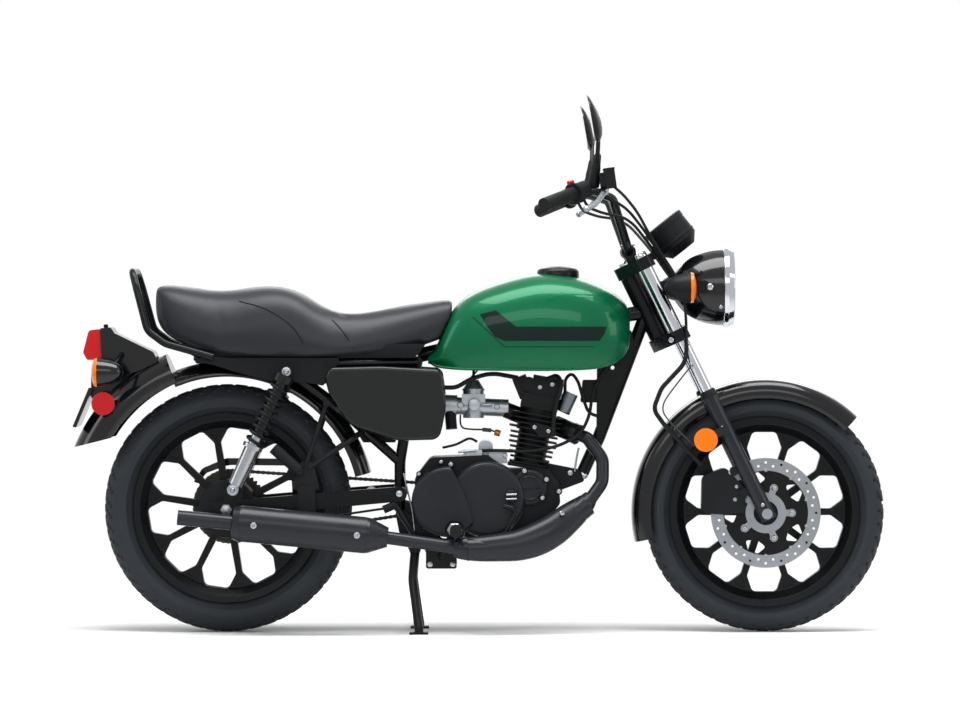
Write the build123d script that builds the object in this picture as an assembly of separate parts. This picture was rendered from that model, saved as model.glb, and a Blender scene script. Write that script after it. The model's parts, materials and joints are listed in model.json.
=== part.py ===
from build123d import *
import math
import os

# Standard motorcycle, a small air-cooled single. Millimetres, +X forward, +Y to the rider's left, +Z up.
# The origin lies on the floor, under the middle of the overall length. Rest pose: upright on the centre stand.

# Overall
wheelbase = 1325
front_axle_x = 705
rear_axle_x = front_axle_x - wheelbase

# Tyres and rims
front_tyre_radius = 296
front_tyre_width = 84
rear_tyre_radius = 306
rear_tyre_width = 103
bead_radius = 229
rim_well_radius = 199
front_rim_width = 52
rear_rim_width = 64
spoke_count = 10
spoke_width = 16
spoke_depth = 24
spoke_fork_radius = 158
spoke_root_radius = 62
spoke_foot_width = 64
spoke_pocket_depth = 5
front_axle_z = front_tyre_radius
rear_lift = 0
rear_axle_z = rear_tyre_radius + rear_lift
axle_radius = 7.5
axle_clearance = 0.05

# Front brake
disc_radius = 135
disc_band = 31
disc_thickness = 4
disc_side = 65
disc_hole_radius = 3.2
disc_hole_count = 20
sensor_ring_radius = 50

# Fork and steering
rake = 26
fork_half_width = 95
fork_tube_radius = 15
slider_radius = 19
slider_top = 319
steering_offset = 43
lower_clamp_at = 487
upper_clamp_at = 684
clamp_height = 30

# Rear end
arm_inner = 80
arm_outer = 102
pivot_x = -196
pivot_z = 345
shock_half_width = 134
shock_top = (-471, 645)
shock_bottom = (-602, 356)
spring_radius = 20.5
spring_wire = 4
chain_side = 67
chain_pitch = 12.7
rear_sprocket_teeth = 44
front_sprocket_teeth = 15
front_sprocket_x = -96
front_sprocket_z = 330
low_crown_radius = 364
tail_crown_radius = 409.46
tail_tip_z = 456
drum_radius = 72
post_side = 40
stem_radius = 12.5
stem_clearance = 0.05

stand_x = -158
stand_z = 205
side_stand_x = -120
side_stand_z = 214

# Engine
engine_lean = 10
cylinder_foot = (121, 0, 404)
fin_pitch = 12
fin_thickness = 3.2

# Tank
tunnel_half_width = 30

# Clearances
bead_gap = 0.3


def polygon(points, rounds=0):
    """A closed outline, with one round for all corners or a list of rounds."""
    if isinstance(rounds, (int, float)):
        rounds = [rounds] * len(points)
    return make_face(FilletPolyline(*points, radius=rounds, close=True))


def smooth(points):
    """A closed outline that runs smoothly through its points."""
    return make_face(Spline(*points, periodic=True))


def slab(outline, low, high):
    """A plate whose outline is drawn in the side view as (x, z), between two places across the machine."""
    face = Plane.XZ.offset(-low) * outline
    return extrude(face, amount=low - high)


def ring(section, x, z, start=0, turn=360):
    """Turns a section drawn as (across, radius) about a wheel's centre. Angles go up from straight ahead."""
    axis = Axis((x, 0, z), (0, -1, 0))
    face = Plane(origin=(x, 0, z), x_dir=(0, 1, 0), z_dir=(0, 0, -1)) * section
    solid = revolve(face, axis, turn)
    return solid.rotate(axis, start)


def tube(points, radius, bends=0):
    """A round bar or pipe along straight runs joined by bends."""
    path = FilletPolyline(*points, radius=bends) if len(points) > 2 else Line(*points)
    return sweep(Plane(origin=path @ 0, z_dir=path % 0) * Circle(radius), path=path)


def cable(points, radius):
    """A flexible line through its points, whose bends are as wide as the runs beside them allow."""
    spots = [Vector(*point) for point in points]
    bends = []
    for before, at, after in zip(spots, spots[1:], spots[2:]):
        turn = math.radians((at - before).get_angle(after - at))
        shorter = min((at - before).length, (after - at).length)
        bends.append(0.45 * shorter / math.tan(turn / 2))
    return tube(points, radius, bends)


def rod(start, end, radius, end_radius=None):
    """A straight round bar between two points, or a cone where the radii differ."""
    line = Vector(*end) - Vector(*start)
    place = Plane(origin=start, z_dir=line).location
    if end_radius is None:
        return place * Pos(0, 0, line.length / 2) * Cylinder(radius, line.length)
    return place * Pos(0, 0, line.length / 2) * Cone(radius, end_radius, line.length)


def across(x, z, low, high, radius):
    """A round bar that lies across the machine."""
    return rod((x, low, z), (x, high, z), radius)


def both_sides(shape):
    """The shape and its mirror image."""
    return shape + mirror(shape, about=Plane.XZ)


def polar(x, z, radius, degrees):
    """A point in the side view at an angle up from straight ahead."""
    return (x + radius * math.cos(math.radians(degrees)), z + radius * math.sin(math.radians(degrees)))


fork_place = Pos(front_axle_x, 0, front_axle_z) * Rot(0, -rake, 0)


def on_fork(along, forward=0, side=0):
    """A point given by its distance up the fork, forward of it, and across."""
    lean = math.radians(rake)
    x = front_axle_x - along * math.sin(lean) + forward * math.cos(lean)
    z = front_axle_z + along * math.cos(lean) + forward * math.sin(lean)
    return (x, side, z)


def guard_seat_z(x, radius):
    """Height of a cross tube that lies on the low part of the rear guard's crown."""
    return rear_axle_z + math.sqrt((low_crown_radius + radius) ** 2 - (x - rear_axle_x) ** 2)


# Wheels
def tyre(x, z, radius, width, rim_width):
    """A hollow tyre whose beads sit inside the rim's flanges."""
    half = width / 2
    bead = rim_width / 2 - 5 - bead_gap
    low = bead_radius - 8
    neck = bead_radius + 8.5
    middle = (radius + neck) / 2
    left = [(-bead, neck), (-half + 5, neck + 11), (-half, middle), (-half * 0.62, radius - 9), (0, radius)]
    inner_left = [(-bead + 6, neck), (-half + 14, middle - 4), (-half * 0.5, radius - 19), (0, radius - 11)]
    outer = left + [(-a, b) for a, b in reversed(left[:-1])]
    inner = inner_left + [(-a, b) for a, b in reversed(inner_left[:-1])]
    edges = [
        Line((-bead, low), (-bead, neck)),
        Spline(*outer),
        Line((bead, neck), (bead, low)),
        Line((bead, low), (bead - 6, low)),
        Line((bead - 6, low), (bead - 6, neck)),
        Spline(*reversed(inner)),
        Line((-bead + 6, neck), (-bead + 6, low)),
        Line((-bead + 6, low), (-bead, low)),
    ]
    return ring(make_face(edges), x, z)


def spoke_window():
    """The opening between two spokes, drawn about the axle and pointing along +X."""
    pitch = math.radians(360 / spoke_count)
    half_gap = pitch / 2
    root_side = spoke_root_radius * math.tan(half_gap) - spoke_width / 2 / math.cos(half_gap)
    fork_side = spoke_fork_radius * math.tan(half_gap) - spoke_width / 2 / math.cos(half_gap)
    rim_side = rim_well_radius * math.sin(half_gap) - spoke_foot_width / 2
    low = spoke_root_radius + 4
    outline = [
        (low, -max(root_side, 5)),
        (spoke_fork_radius, -fork_side),
        (rim_well_radius - 2, -rim_side),
        (rim_well_radius - 2, rim_side),
        (spoke_fork_radius, fork_side),
        (low, max(root_side, 5)),
    ]
    return polygon(outline, [4, 14, 13, 13, 14, 4])


def cast_rim(x, z, rim_width, phase, hub_radius, hub_low, hub_high):
    """A cast wheel: rim with flanges, ten forked spokes and a hub tube."""
    half = rim_width / 2
    section = polygon(
        [
            (-half, bead_radius + 6),
            (-half, bead_radius - 12),
            (-half + 14, rim_well_radius),
            (half - 14, rim_well_radius),
            (half, bead_radius - 12),
            (half, bead_radius + 6),
            (half - 5, bead_radius + 6),
            (half - 5, bead_radius - 9),
            (half - 18, rim_well_radius + 8),
            (-half + 18, rim_well_radius + 8),
            (-half + 5, bead_radius - 9),
            (-half + 5, bead_radius + 6),
        ],
        [2, 4, 5, 5, 4, 2, 2, 2, 3, 3, 2, 2],
    )
    wheel = ring(section, x, z)
    web = slab(Circle(rim_well_radius + 3), -spoke_depth / 2, spoke_depth / 2)
    for number in range(spoke_count):
        window = slab(spoke_window(), -spoke_depth, spoke_depth)
        web -= window.rotate(Axis.Y, 180 / spoke_count + number * 360 / spoke_count)
    foot = spoke_foot_width / 2 - 14
    pocket = polygon([(spoke_fork_radius + 12, 0), (rim_well_radius - 6, foot), (rim_well_radius - 6, -foot)], 3)
    pockets = both_sides(slab(pocket, spoke_depth / 2 - spoke_pocket_depth, spoke_depth))
    for number in range(spoke_count):
        web -= pockets.rotate(Axis.Y, number * 360 / spoke_count)
    web = Pos(x, 0, z) * web.rotate(Axis.Y, -phase)
    hub = across(x, z, hub_low, hub_high, hub_radius)
    wheel = wheel + web + hub
    return wheel - across(x, z, -150, 150, axle_radius + axle_clearance)


def front_wheel():
    hub_half = disc_side - disc_thickness / 2
    rim = cast_rim(front_axle_x, front_axle_z, front_rim_width, 0, 30, -hub_half, hub_half)
    rubber = tyre(front_axle_x, front_axle_z, front_tyre_radius, front_tyre_width, front_rim_width)
    return {"front_tyre": rubber, "front_rim": rim, "brake_disc": brake_disc()}


def brake_disc():
    """A drilled band on a five-armed carrier, with the sensor ring about its middle."""
    outer = disc_radius
    inner = disc_radius - disc_band
    band = Circle(outer) - Circle(inner)
    for number in range(disc_hole_count):
        angle = number * 360 / disc_hole_count
        band -= Pos(*polar(0, 0, outer - 11, angle)) * Circle(disc_hole_radius)
        band -= Pos(*polar(0, 0, outer - 19, angle + 9)) * Circle(disc_hole_radius)
    low = -disc_side - disc_thickness / 2
    high = -disc_side + disc_thickness / 2
    disc = slab(band, low, high)
    carrier = Circle(inner + 3) - Circle(30)
    for number in range(5):
        leaf = polygon([(80, -26), (101, -13), (101, 13), (80, 26), (70, 0)], [5, 4, 4, 5, 12])
        carrier -= Rot(0, 0, 36 + number * 72) * leaf
    disc += slab(carrier, high - 2.5, high)
    ring_face = Circle(sensor_ring_radius)
    for number in range(5):
        ring_face += Pos(*polar(0, 0, 64, number * 72)) * Circle(10)
        ring_face += Rot(0, 0, number * 72) * (Pos(56, 0) * Rectangle(16, 16))
    disc += slab(ring_face - Circle(30), low - 2, high)
    return Pos(front_axle_x, 0, front_axle_z) * disc


def rear_wheel():
    rim = cast_rim(rear_axle_x, rear_axle_z, rear_rim_width, 27.4, 34, -38, chain_side - 2.5)
    drum = across(rear_axle_x, rear_axle_z, -38, 30, drum_radius)
    rim = rim + (drum - across(rear_axle_x, rear_axle_z, -200, 200, 30))
    rubber = tyre(rear_axle_x, rear_axle_z, rear_tyre_radius, rear_tyre_width, rear_rim_width)
    return {"rear_tyre": rubber, "rear_rim": rim, "rear_sprocket": rear_sprocket()}


def sprocket_face(teeth):
    radius = chain_pitch / 2 / math.sin(math.pi / teeth)
    points = []
    for number in range(teeth):
        angle = number * 360 / teeth
        points.append(polar(0, 0, radius - 4, angle - 90 / teeth))
        points.append(polar(0, 0, radius + 2.5, angle + 60 / teeth))
        points.append(polar(0, 0, radius + 2.5, angle + 120 / teeth))
    return make_face(Polyline(*points, close=True))


def rear_sprocket():
    blank = sprocket_face(rear_sprocket_teeth) - Circle(34)
    for number in range(6):
        blank -= Pos(*polar(0, 0, 60, number * 60)) * Circle(11)
    return Pos(rear_axle_x, 0, rear_axle_z) * slab(blank, chain_side - 2.5, chain_side + 2.5)


# Chassis
def frame():
    """Head tube, backbone, front down tube, seat rails, rear tubes, pivot posts and brackets."""
    head_low = on_fork(lower_clamp_at + clamp_height / 2 + 0.5, -steering_offset)
    head_high = on_fork(upper_clamp_at - clamp_height / 2 - 0.5, -steering_offset)
    body = rod(head_low, head_high, 25)
    body += tube([on_fork(572, -steering_offset), (120, 0, 742), (-152, 0, 682)], 18, [160])
    body += tube([on_fork(560, -steering_offset - 14), (296, 0, 480), (256, 0, 392)], 16, [200])
    gusset = polygon(
        [(292, 742), (376, 745), (382, 716), (302, 466), (290, 466), (292, 700)], [6, 6, 6, 3, 3, 6]
    )
    gusset -= Pos(330, 652) * Circle(5)
    body += slab(gusset, -17, -13) + slab(gusset, 13, 17)
    rail = tube([(-152, 70, 666), (-300, 92, 664), (-500, 92, 662), (-700, 86, 682)], 11, [300, 300])
    body += both_sides(rail)
    body += across(-152, 668, -70, 70, 12)
    for x in (-500, -690):
        body += across(x, guard_seat_z(x, 8), -90, 90, 8)
    body += across(250, 764, -tunnel_half_width, tunnel_half_width, 9)
    lower = tube([(-478, 92, 652), (-330, 92, 540), (-196, post_side, 418)], 10, [300])
    body += both_sides(lower)
    post = tube(
        [(-152, post_side, 672), (-172, post_side, 560), (pivot_x, post_side, 420), (pivot_x, post_side, 300)],
        13,
        [200, 160],
    )
    body += both_sides(post)
    body += across(pivot_x, 306, -post_side, post_side, 11)
    mount = polygon([(-205, 330), (-166, 318), (-150, 290), (-170, 262), (-205, 290)], 8)
    body += both_sides(slab(mount, post_side - 3, post_side + 3))
    lug = polygon([(-504, 652), (-484, 678), (-440, 676), (-446, 632), (-474, 626)], 8)
    body += both_sides(slab(lug, 94, 100))
    body += both_sides(across(shock_top[0], shock_top[1], 94, shock_half_width + 18, 7))
    body += across(pivot_x, pivot_z, -arm_outer - 6, arm_outer + 6, 8)
    body -= rod(on_fork(300, -steering_offset), on_fork(900, -steering_offset), stem_radius + stem_clearance)
    stand_lug = polygon(
        [(-209, 310), (-183, 310), (stand_x + 14, stand_z + 6), (stand_x, stand_z - 13), (stand_x - 16, stand_z)], 7
    )
    body += both_sides(slab(stand_lug, 38, 44))
    body += both_sides(across(-661, 682, 92, 110, 7.5))
    body += across(stand_x, stand_z, -70, 70, 7)
    return body


def swingarm():
    arm = polygon(
        [
            (pivot_x + 18, pivot_z + 18), (pivot_x + 18, pivot_z - 18),
            (-400, 306), (rear_axle_x - 42, rear_axle_z - 17),
            (rear_axle_x - 42, rear_axle_z + 17), (-400, 346),
        ],
        [16, 16, 60, 6, 6, 60],
    )
    arm -= Pos(rear_axle_x, rear_axle_z) * Circle(axle_radius + axle_clearance)
    arm -= Pos(pivot_x, pivot_z) * Circle(8)
    lug = polygon([(-626, 315), (-627, 358), (-602, 374), (-581, 358), (-578, 315)], [4, 14, 16, 14, 4])
    arm_pair = both_sides(slab(arm, arm_inner, arm_outer) + slab(lug, arm_inner + 12, arm_outer))
    arm_pair += both_sides(across(shock_bottom[0], shock_bottom[1], arm_outer - 2, shock_half_width + 17, 7))
    arm_pair += across(-268, 338, -arm_inner, arm_inner, 17)
    return arm_pair


def rear_axle():
    body = across(rear_axle_x, rear_axle_z, -arm_outer - 22, arm_outer + 22, axle_radius)
    nut = Rot(90, 0, 0) * extrude(RegularPolygon(14, 6), amount=12)
    left = Pos(rear_axle_x, arm_outer + 12, rear_axle_z) * nut
    right = Pos(rear_axle_x, -arm_outer, rear_axle_z) * nut
    body = body + left + right
    return body + across(rear_axle_x, rear_axle_z, chain_side + 4, arm_inner, 13)


def brake_panel():
    """The fixed side of the rear drum, with its cam lever."""
    body = across(rear_axle_x, rear_axle_z, -54, -43.5, drum_radius - 1)
    body += across(rear_axle_x, rear_axle_z, -arm_inner, -54, 20)
    body += across(rear_axle_x + 48, rear_axle_z - 20, -72, -54, 9)
    lever = polygon([(-584, 292), (-574, 300), (-560, 240), (-572, 236)], 4)
    body += slab(lever, -72, -67)
    return body - across(rear_axle_x, rear_axle_z, -100, 0, axle_radius + axle_clearance)


def shocks():
    top = Vector(shock_top[0], shock_half_width, shock_top[1])
    bottom = Vector(shock_bottom[0], shock_half_width, shock_bottom[1])
    line = bottom - top
    at = lambda share: top + line * share
    eye_top = across(shock_top[0], shock_top[1], shock_half_width - 14, shock_half_width + 14, 14)
    eye_bottom = across(shock_bottom[0], shock_bottom[1], shock_half_width - 14, shock_half_width + 14, 14)
    body = eye_top + eye_bottom
    body += rod(at(0.03), at(0.09), 24.5)
    body += rod(at(0.06), at(0.62), 14)
    body += rod(at(0.62), at(0.65), 24.5)
    body += rod(at(0.64), at(0.96), 18.5, 17)
    body -= across(shock_top[0], shock_top[1], 0, 200, 7)
    body -= across(shock_bottom[0], shock_bottom[1], 0, 200, 7)
    length = line.length * 0.53 - 2 * spring_wire
    turns = 9
    coil = Helix(length / turns, length, spring_radius)
    wire = sweep(Plane(origin=coil @ 0, z_dir=coil % 0) * Circle(spring_wire), path=coil)
    wire = Plane(origin=at(0.62), z_dir=top - bottom).location * Pos(0, 0, spring_wire) * wire
    return {"shock_bodies": both_sides(body), "shock_springs": both_sides(wire)}


def chain_loop():
    """The chain's pitch line round both sprockets, with its four corners, in the side view."""
    front_radius = chain_pitch / 2 / math.sin(math.pi / front_sprocket_teeth)
    rear_radius = chain_pitch / 2 / math.sin(math.pi / rear_sprocket_teeth)
    fx, fz = front_sprocket_x, front_sprocket_z
    rx, rz = rear_axle_x, rear_axle_z
    tilt = math.degrees(math.atan2(fz - rz, fx - rx))
    spread = math.degrees(math.acos((rear_radius - front_radius) / math.hypot(fx - rx, fz - rz)))
    corners = [
        polar(rx, rz, rear_radius, tilt + spread),
        polar(fx, fz, front_radius, tilt + spread),
        polar(fx, fz, front_radius, tilt - spread),
        polar(rx, rz, rear_radius, tilt - spread),
    ]
    nose = ThreePointArc(corners[1], polar(fx, fz, front_radius, tilt), corners[2])
    heel = ThreePointArc(corners[3], polar(rx, rz, rear_radius, tilt + 180), corners[0])
    loop = Wire([Line(corners[0], corners[1]).edge(), nose.edge(), Line(corners[2], corners[3]).edge(), heel.edge()])
    return loop, corners


def drive_chain():
    """A closed roller chain: two strips of inner plates, rollers' core on the straight runs, and outer plates."""
    loop, corners = chain_loop()
    strip = make_face(offset(loop, 4.4)) - make_face(offset(loop, -4.4))
    body = slab(strip, chain_side - 5.4, chain_side - 3.4) + slab(strip, chain_side + 3.4, chain_side + 5.4)
    for start, end in ((corners[0], corners[1]), (corners[3], corners[2])):
        line = Line(start, end)
        angle = math.degrees(math.atan2(end[1] - start[1], end[0] - start[0]))
        core = Pos(*tuple(line @ 0.5)[:2]) * Rot(0, 0, angle) * Rectangle(line.length - 76, 7)
        body += slab(core, chain_side - 3.4, chain_side + 3.4)
    count = round(loop.length / chain_pitch / 2)
    for number in range(count):
        share = (number + 0.5) / count
        place = loop.position_at(share)
        along = loop.tangent_at(share)
        angle = math.degrees(math.atan2(along.Y, along.X))
        plate = Pos(place.X, place.Y) * Rot(0, 0, angle) * Rectangle(chain_pitch + 7, 10)
        body += slab(plate, chain_side - 7.4, chain_side - 5.4) + slab(plate, chain_side + 5.4, chain_side + 7.4)
    return body


def chain_way():
    """The space that the chain needs inside the engine and its cover."""
    loop = chain_loop()[0]
    return slab(make_face(offset(loop, 11)), chain_side - 10, chain_side + 10)


def chain_guard():
    outer = chain_side + 11.5
    side = polygon(
        [(-440, 424), (-629, 426), (-690, 400), (-712, 366), (-700, 362), (-680, 388), (-625, 408), (-440, 406)],
        [3, 60, 20, 3, 3, 20, 60, 3],
    )
    top = polygon([(-440, 424), (-629, 426), (-629, 423), (-440, 421)], 0.5)
    foot = polygon([(-470, 410), (-445, 410), (-440, 330), (-465, 330)], 4)
    guard = slab(side, outer - 1.8, outer) + slab(top, chain_side - 12, outer) + slab(foot, outer - 1.8, outer)
    return guard + across(-454, 338, outer - 1.8, arm_inner, 7)


def rear_fender():
    """A deep guard: a low part under the seat, a step, and a raised tail that is cut off level at its tip."""
    def arch(inner, crown, half, wall):
        outer = [(-half, inner), (-half, crown - 34), (-half * 0.62, crown - 6), (0, crown)]
        outer += [(-a, b) for a, b in reversed(outer[:-1])]
        if not wall:
            return make_face([Spline(*outer), Line(outer[-1], outer[0])])
        inside = [(-half + wall, inner), (-half + wall, crown - 34 - wall)]
        inside += [(-half * 0.6, crown - 6.5 - wall), (0, crown - wall)]
        inside += [(-a, b) for a, b in reversed(inside[:-1])]
        return make_face(
            [Spline(*outer), Line(outer[-1], inside[-1]), Spline(*reversed(inside)), Line(inside[0], outer[0])]
        )

    tail = ring(arch(334, tail_crown_radius, 76, 3), rear_axle_x, rear_axle_z, 112, 48)
    tip_x = rear_axle_x - math.sqrt(tail_crown_radius**2 - (rear_axle_z - tail_tip_z) ** 2)
    below = [(tip_x - 9, tail_tip_z - 2), (tip_x + 101, tail_tip_z + 26), (tip_x + 101, 350), (tip_x - 9, 350)]
    tail -= slab(polygon(below), -100, 100)
    under = ring(arch(325, low_crown_radius, 72, 3), rear_axle_x, rear_axle_z, 14, 99)
    step = ring(arch(334, tail_crown_radius, 76, 0), rear_axle_x, rear_axle_z, 112, 1)
    opening = ring(arch(320, low_crown_radius - 3, 69, 0), rear_axle_x, rear_axle_z, 111, 3)
    return tail + under + (step - opening)


def loft_along(sections):
    """A solid through closed sections, each given by its place along X, half width, bottom and top."""
    faces = []
    for x, half, low, high, belly in sections:
        height = high - low
        sweep_points = [
            (half * belly, low),
            (half, low + height * 0.36),
            (half * 0.76, low + height * 0.86),
            (0, high),
            (-half * 0.76, low + height * 0.86),
            (-half, low + height * 0.36),
            (-half * belly, low),
        ]
        outline = make_face([Spline(*sweep_points), Line(sweep_points[-1], sweep_points[0])])
        faces.append(Plane(origin=(x, 0, 0), x_dir=(0, 1, 0), z_dir=(1, 0, 0)) * outline)
    return loft(faces)


def tank():
    shape = loft_along(
        [
            (-126, 60, 663, 686, 0.9),
            (-95, 78, 657, 732, 0.9),
            (-56, 98, 653, 806, 0.9),
            (10, 118, 650, 850, 0.88),
            (100, 134, 650, 878, 0.86),
            (200, 139, 650, 884, 0.86),
            (290, 127, 654, 860, 0.86),
            (345, 96, 672, 828, 0.86),
            (371, 62, 716, 792, 0.86),
        ]
    )
    tunnel = polygon([(-200, 600), (420, 600), (420, 812), (130, 772), (-200, 702)], 4)
    return shape - slab(tunnel, -tunnel_half_width, tunnel_half_width)


def fuel_cap(below):
    """A round cap that sits on the tank's crown."""
    return rod((195, 0, 872), (195, 0, 903), 52) - below


def seat(front, frame_tubes):
    """The bench, with rubber feet that stand on the seat rails."""
    bench = loft_along(
        [
            (-798, 60, 800, 846, 0.9),
            (-770, 92, 735, 857, 0.9),
            (-700, 112, 703, 845, 0.9),
            (-600, 124, 686, 840, 0.9),
            (-470, 128, 681, 845, 0.9),
            (-400, 126, 680, 806, 0.9),
            (-330, 120, 682, 781, 0.88),
            (-240, 104, 686, 790, 0.86),
            (-150, 86, 704, 808, 0.84),
            (-100, 76, 720, 818, 0.84),
            (-66, 66, 726, 822, 0.84),
        ]
    )
    for x in (-430, -610):
        bench += both_sides(rod((x, 92, 664), (x, 92, 700), 8))
    return bench - front - frame_tubes


def side_covers(frame_tubes):
    """A shallow shell on each side, held by a peg on the frame's lower tube."""
    outline = polygon(
        [(-378, 628), (-366, 655), (-240, 658), (-92, 650), (-80, 560), (-97, 478), (-200, 475), (-316, 512), (-368, 590)],
        [18, 14, 300, 22, 120, 26, 90, 60, 60],
    )
    cover = slab(outline, 106, 128)
    cover = fillet(cover.faces().sort_by(Axis.Y)[-1].edges(), 9)
    cover -= slab(offset(outline, -4), 100, 123)
    cover += across(-345, 552, 96, 124, 7)
    return both_sides(cover) - frame_tubes


def seat_rail_panels():
    """The dark trim that hides the seat rail between the seat and the shocks."""
    outline = polygon(
        [(-696, 668), (-696, 678), (-336, 678), (-352, 655), (-382, 609), (-419, 617), (-518, 622), (-592, 642), (-654, 661)],
        [3, 3, 8, 10, 8, 20, 60, 60, 10],
    )
    panel = slab(outline, 103.2, 105.8) - across(shock_top[0], shock_top[1], 90, 120, 7)
    panel -= across(-661, 682, 90, 120, 8.5)
    return both_sides(panel)


def air_box():
    outline = polygon([(-330, 644), (-330, 572), (-228, 486), (-198, 486), (-176, 644)], [14, 14, 8, 8, 14])
    box = slab(outline, -60, 60)
    box += slab(polygon([(-300, 500), (-296, 484), (-286, 468), (-206, 468), (-206, 500)], 4), -34, 34)
    return box + rod((-240, 0, 562), (-92, 0, 560), 25.5) + rod((-68, -14, 500), (-72, -10, 545), 14)


# Engine
engine_place = Pos(*cylinder_foot) * Rot(0, engine_lean, 0)


def crankcase(frame_tubes):
    side = polygon(
        [
            (-160, 380), (-120, 432), (20, 438), (70, 404), (172, 400), (196, 370), (200, 318),
            (150, 262), (90, 238), (-90, 236), (-150, 270),
        ],
        [30, 20, 20, 6, 6, 16, 20, 40, 20, 30, 40],
    )
    body = slab(side, -62, 62)
    body += slab(polygon([(150, 420), (250, 400), (262, 372), (150, 330)], 8), -12, 12)
    body += slab(polygon([(-150, 318), (-182, 304), (-176, 268), (-150, 262)], 4), -30, 30)
    return body - chain_way() - frame_tubes


def dish(x, z, low, high, radius, edge):
    """A round cover that faces the right side, with its outer edge rounded."""
    body = across(x, z, low, high, radius)
    return fillet(body.edges().filter_by(GeomType.CIRCLE).group_by(Axis.Y)[0], edge)


def engine_covers():
    """The clutch cover's two lobes with the cam cover on the right, the generator and chain covers on the left."""
    rear_side = make_face(
        [
            ThreePointArc((-12, 236), (-33, 335), (-74, 414)),
            Polyline((-74, 414), (-190, 414), (-190, 236), (-12, 236)),
        ]
    )
    rear_lobe = dish(-80, 325, -118, -62, 86, 10) & slab(rear_side, -130, -60)
    front_lobe = dish(19, 330, -106, -62, 93, 12)
    right = front_lobe + rear_lobe + dish(123, 359, -90, -62, 44, 6) + dish(123, 359, -97, -84, 30, 3)
    right += across(79, 340, -116, -100, 15)
    left = mirror(dish(40, 322, -112, -62, 82, 12), about=Plane.XZ)
    left += mirror(dish(-86, 330, -100, -62, 60, 10), about=Plane.XZ)
    return right + (left - chain_way())


def finned(width, depth, low, high, core, corner=18):
    """Cooling fins about an upright core, in the cylinder's own frame."""
    body = Pos(0, 0, (low + high) / 2) * Cylinder(core, high - low)
    count = int((high - low) / fin_pitch)
    for number in range(count):
        z = low + fin_pitch * (number + 0.5)
        fin = fillet(Rectangle(depth, width).vertices(), corner)
        body += Pos(0, 0, z - fin_thickness / 2) * extrude(fin, amount=fin_thickness)
    return body


def cylinder(case, head):
    """The barrel, whose fins grow longer towards the head."""
    body = Pos(0, 0, 4) * Box(104, 100, 8)
    body += finned(104, 98, 6, 30, 39) + finned(112, 108, 30, 54, 39) + finned(122, 118, 54, 92, 39)
    return engine_place * body - case - head


def cylinder_head():
    """Fins, a rocker box with its round caps, and the ports to the carburettor and the exhaust."""
    body = finned(132, 128, 92.5, 152, 46) + Pos(0, 0, 166) * Box(92, 96, 34)
    body += Pos(12, 0, 206) * Box(76, 88, 48)
    body += Pos(-48, 0, 196) * Rot(0, -32, 0) * Box(36, 84, 52)
    for side in (-1, 1):
        body += Pos(66, side * 22, 176) * Rot(0, 14, 0) * Cylinder(18, 52)
        body += Pos(-34, side * 43, 205) * Rot(90, 0, 0) * Cylinder(17, 12)
        body += Pos(30, side * 43, 205) * Rot(90, 0, 0) * Cylinder(15, 12)
    body = engine_place * body
    body += rod((188, 0, 510), (231.6, -21.7, 492.2), 24)
    body += engine_place * Pos(-60, 0, 128) * Rot(0, -78, 0) * Cylinder(20, 40)
    body += slab(polygon([(124, 510), (140, 518), (188, 504), (188, 484), (150, 482)], 4), -74, -62)
    return body


def carburettor(head, box):
    """Body with float bowl and domed cap, between the air box's duct and the head's inlet port."""
    body = rod((-55, 0, 558), (72, 0, 552), 22)
    body += rod((-14, 0, 528), (-14, 0, 600), 26)
    body += rod((-14, 0, 600), (-14, 0, 622), 26, 12)
    body += Pos(-14, 0, 574) * Box(58, 62, 26) + across(-12, 562, -44, 40, 13)
    body += rod((-55, 0, 558), (-96, 0, 560), 27)
    return body - head - box


def starter_motor(case, block):
    """The starter on the crankcase behind the cylinder, with the clutch arm's block beside it."""
    body = across(16, 455, -34, 60, 18) + Pos(47, -34, 434) * Box(44, 26, 34)
    body += Pos(-16, -44, 436) * Box(46, 24, 30)
    return body - case - block


header_way = [
    (232, -22, 492), (266, -42, 480), (304, -62, 428), (303, -80, 372), (263, -104, 318),
    (170, -132, 242), (96, -142, 216), (-30, -158, 212), (-241, -160, 242.7),
]
header_bends = [24, 40, 50, 90, 70, 80, 90]


def exhaust_pipe():
    body = tube(header_way, 15.9, header_bends)
    return body + rod((232, -22, 492), (244, -29, 487), 26)


def exhaust_shields():
    """A sleeve over the header's lower bend and a curved plate along the silencer's outer side."""
    sleeve = tube(header_way[4:8], 28.5, header_bends[4:6]) - tube(header_way, 16.1, header_bends)
    place, length = silencer_frame()
    plate = Polyline((52, 45), (length - 24, 45), (length - 24, 47.2), (52, 47.2), close=True)
    cover = revolve(make_face(plate), Axis.X, 130)
    return sleeve, place * Rot(-65, 0, 0) * cover


silencer_rear = (-604, -160, 277)
silencer_front = (-223, -160, 241)


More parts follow.
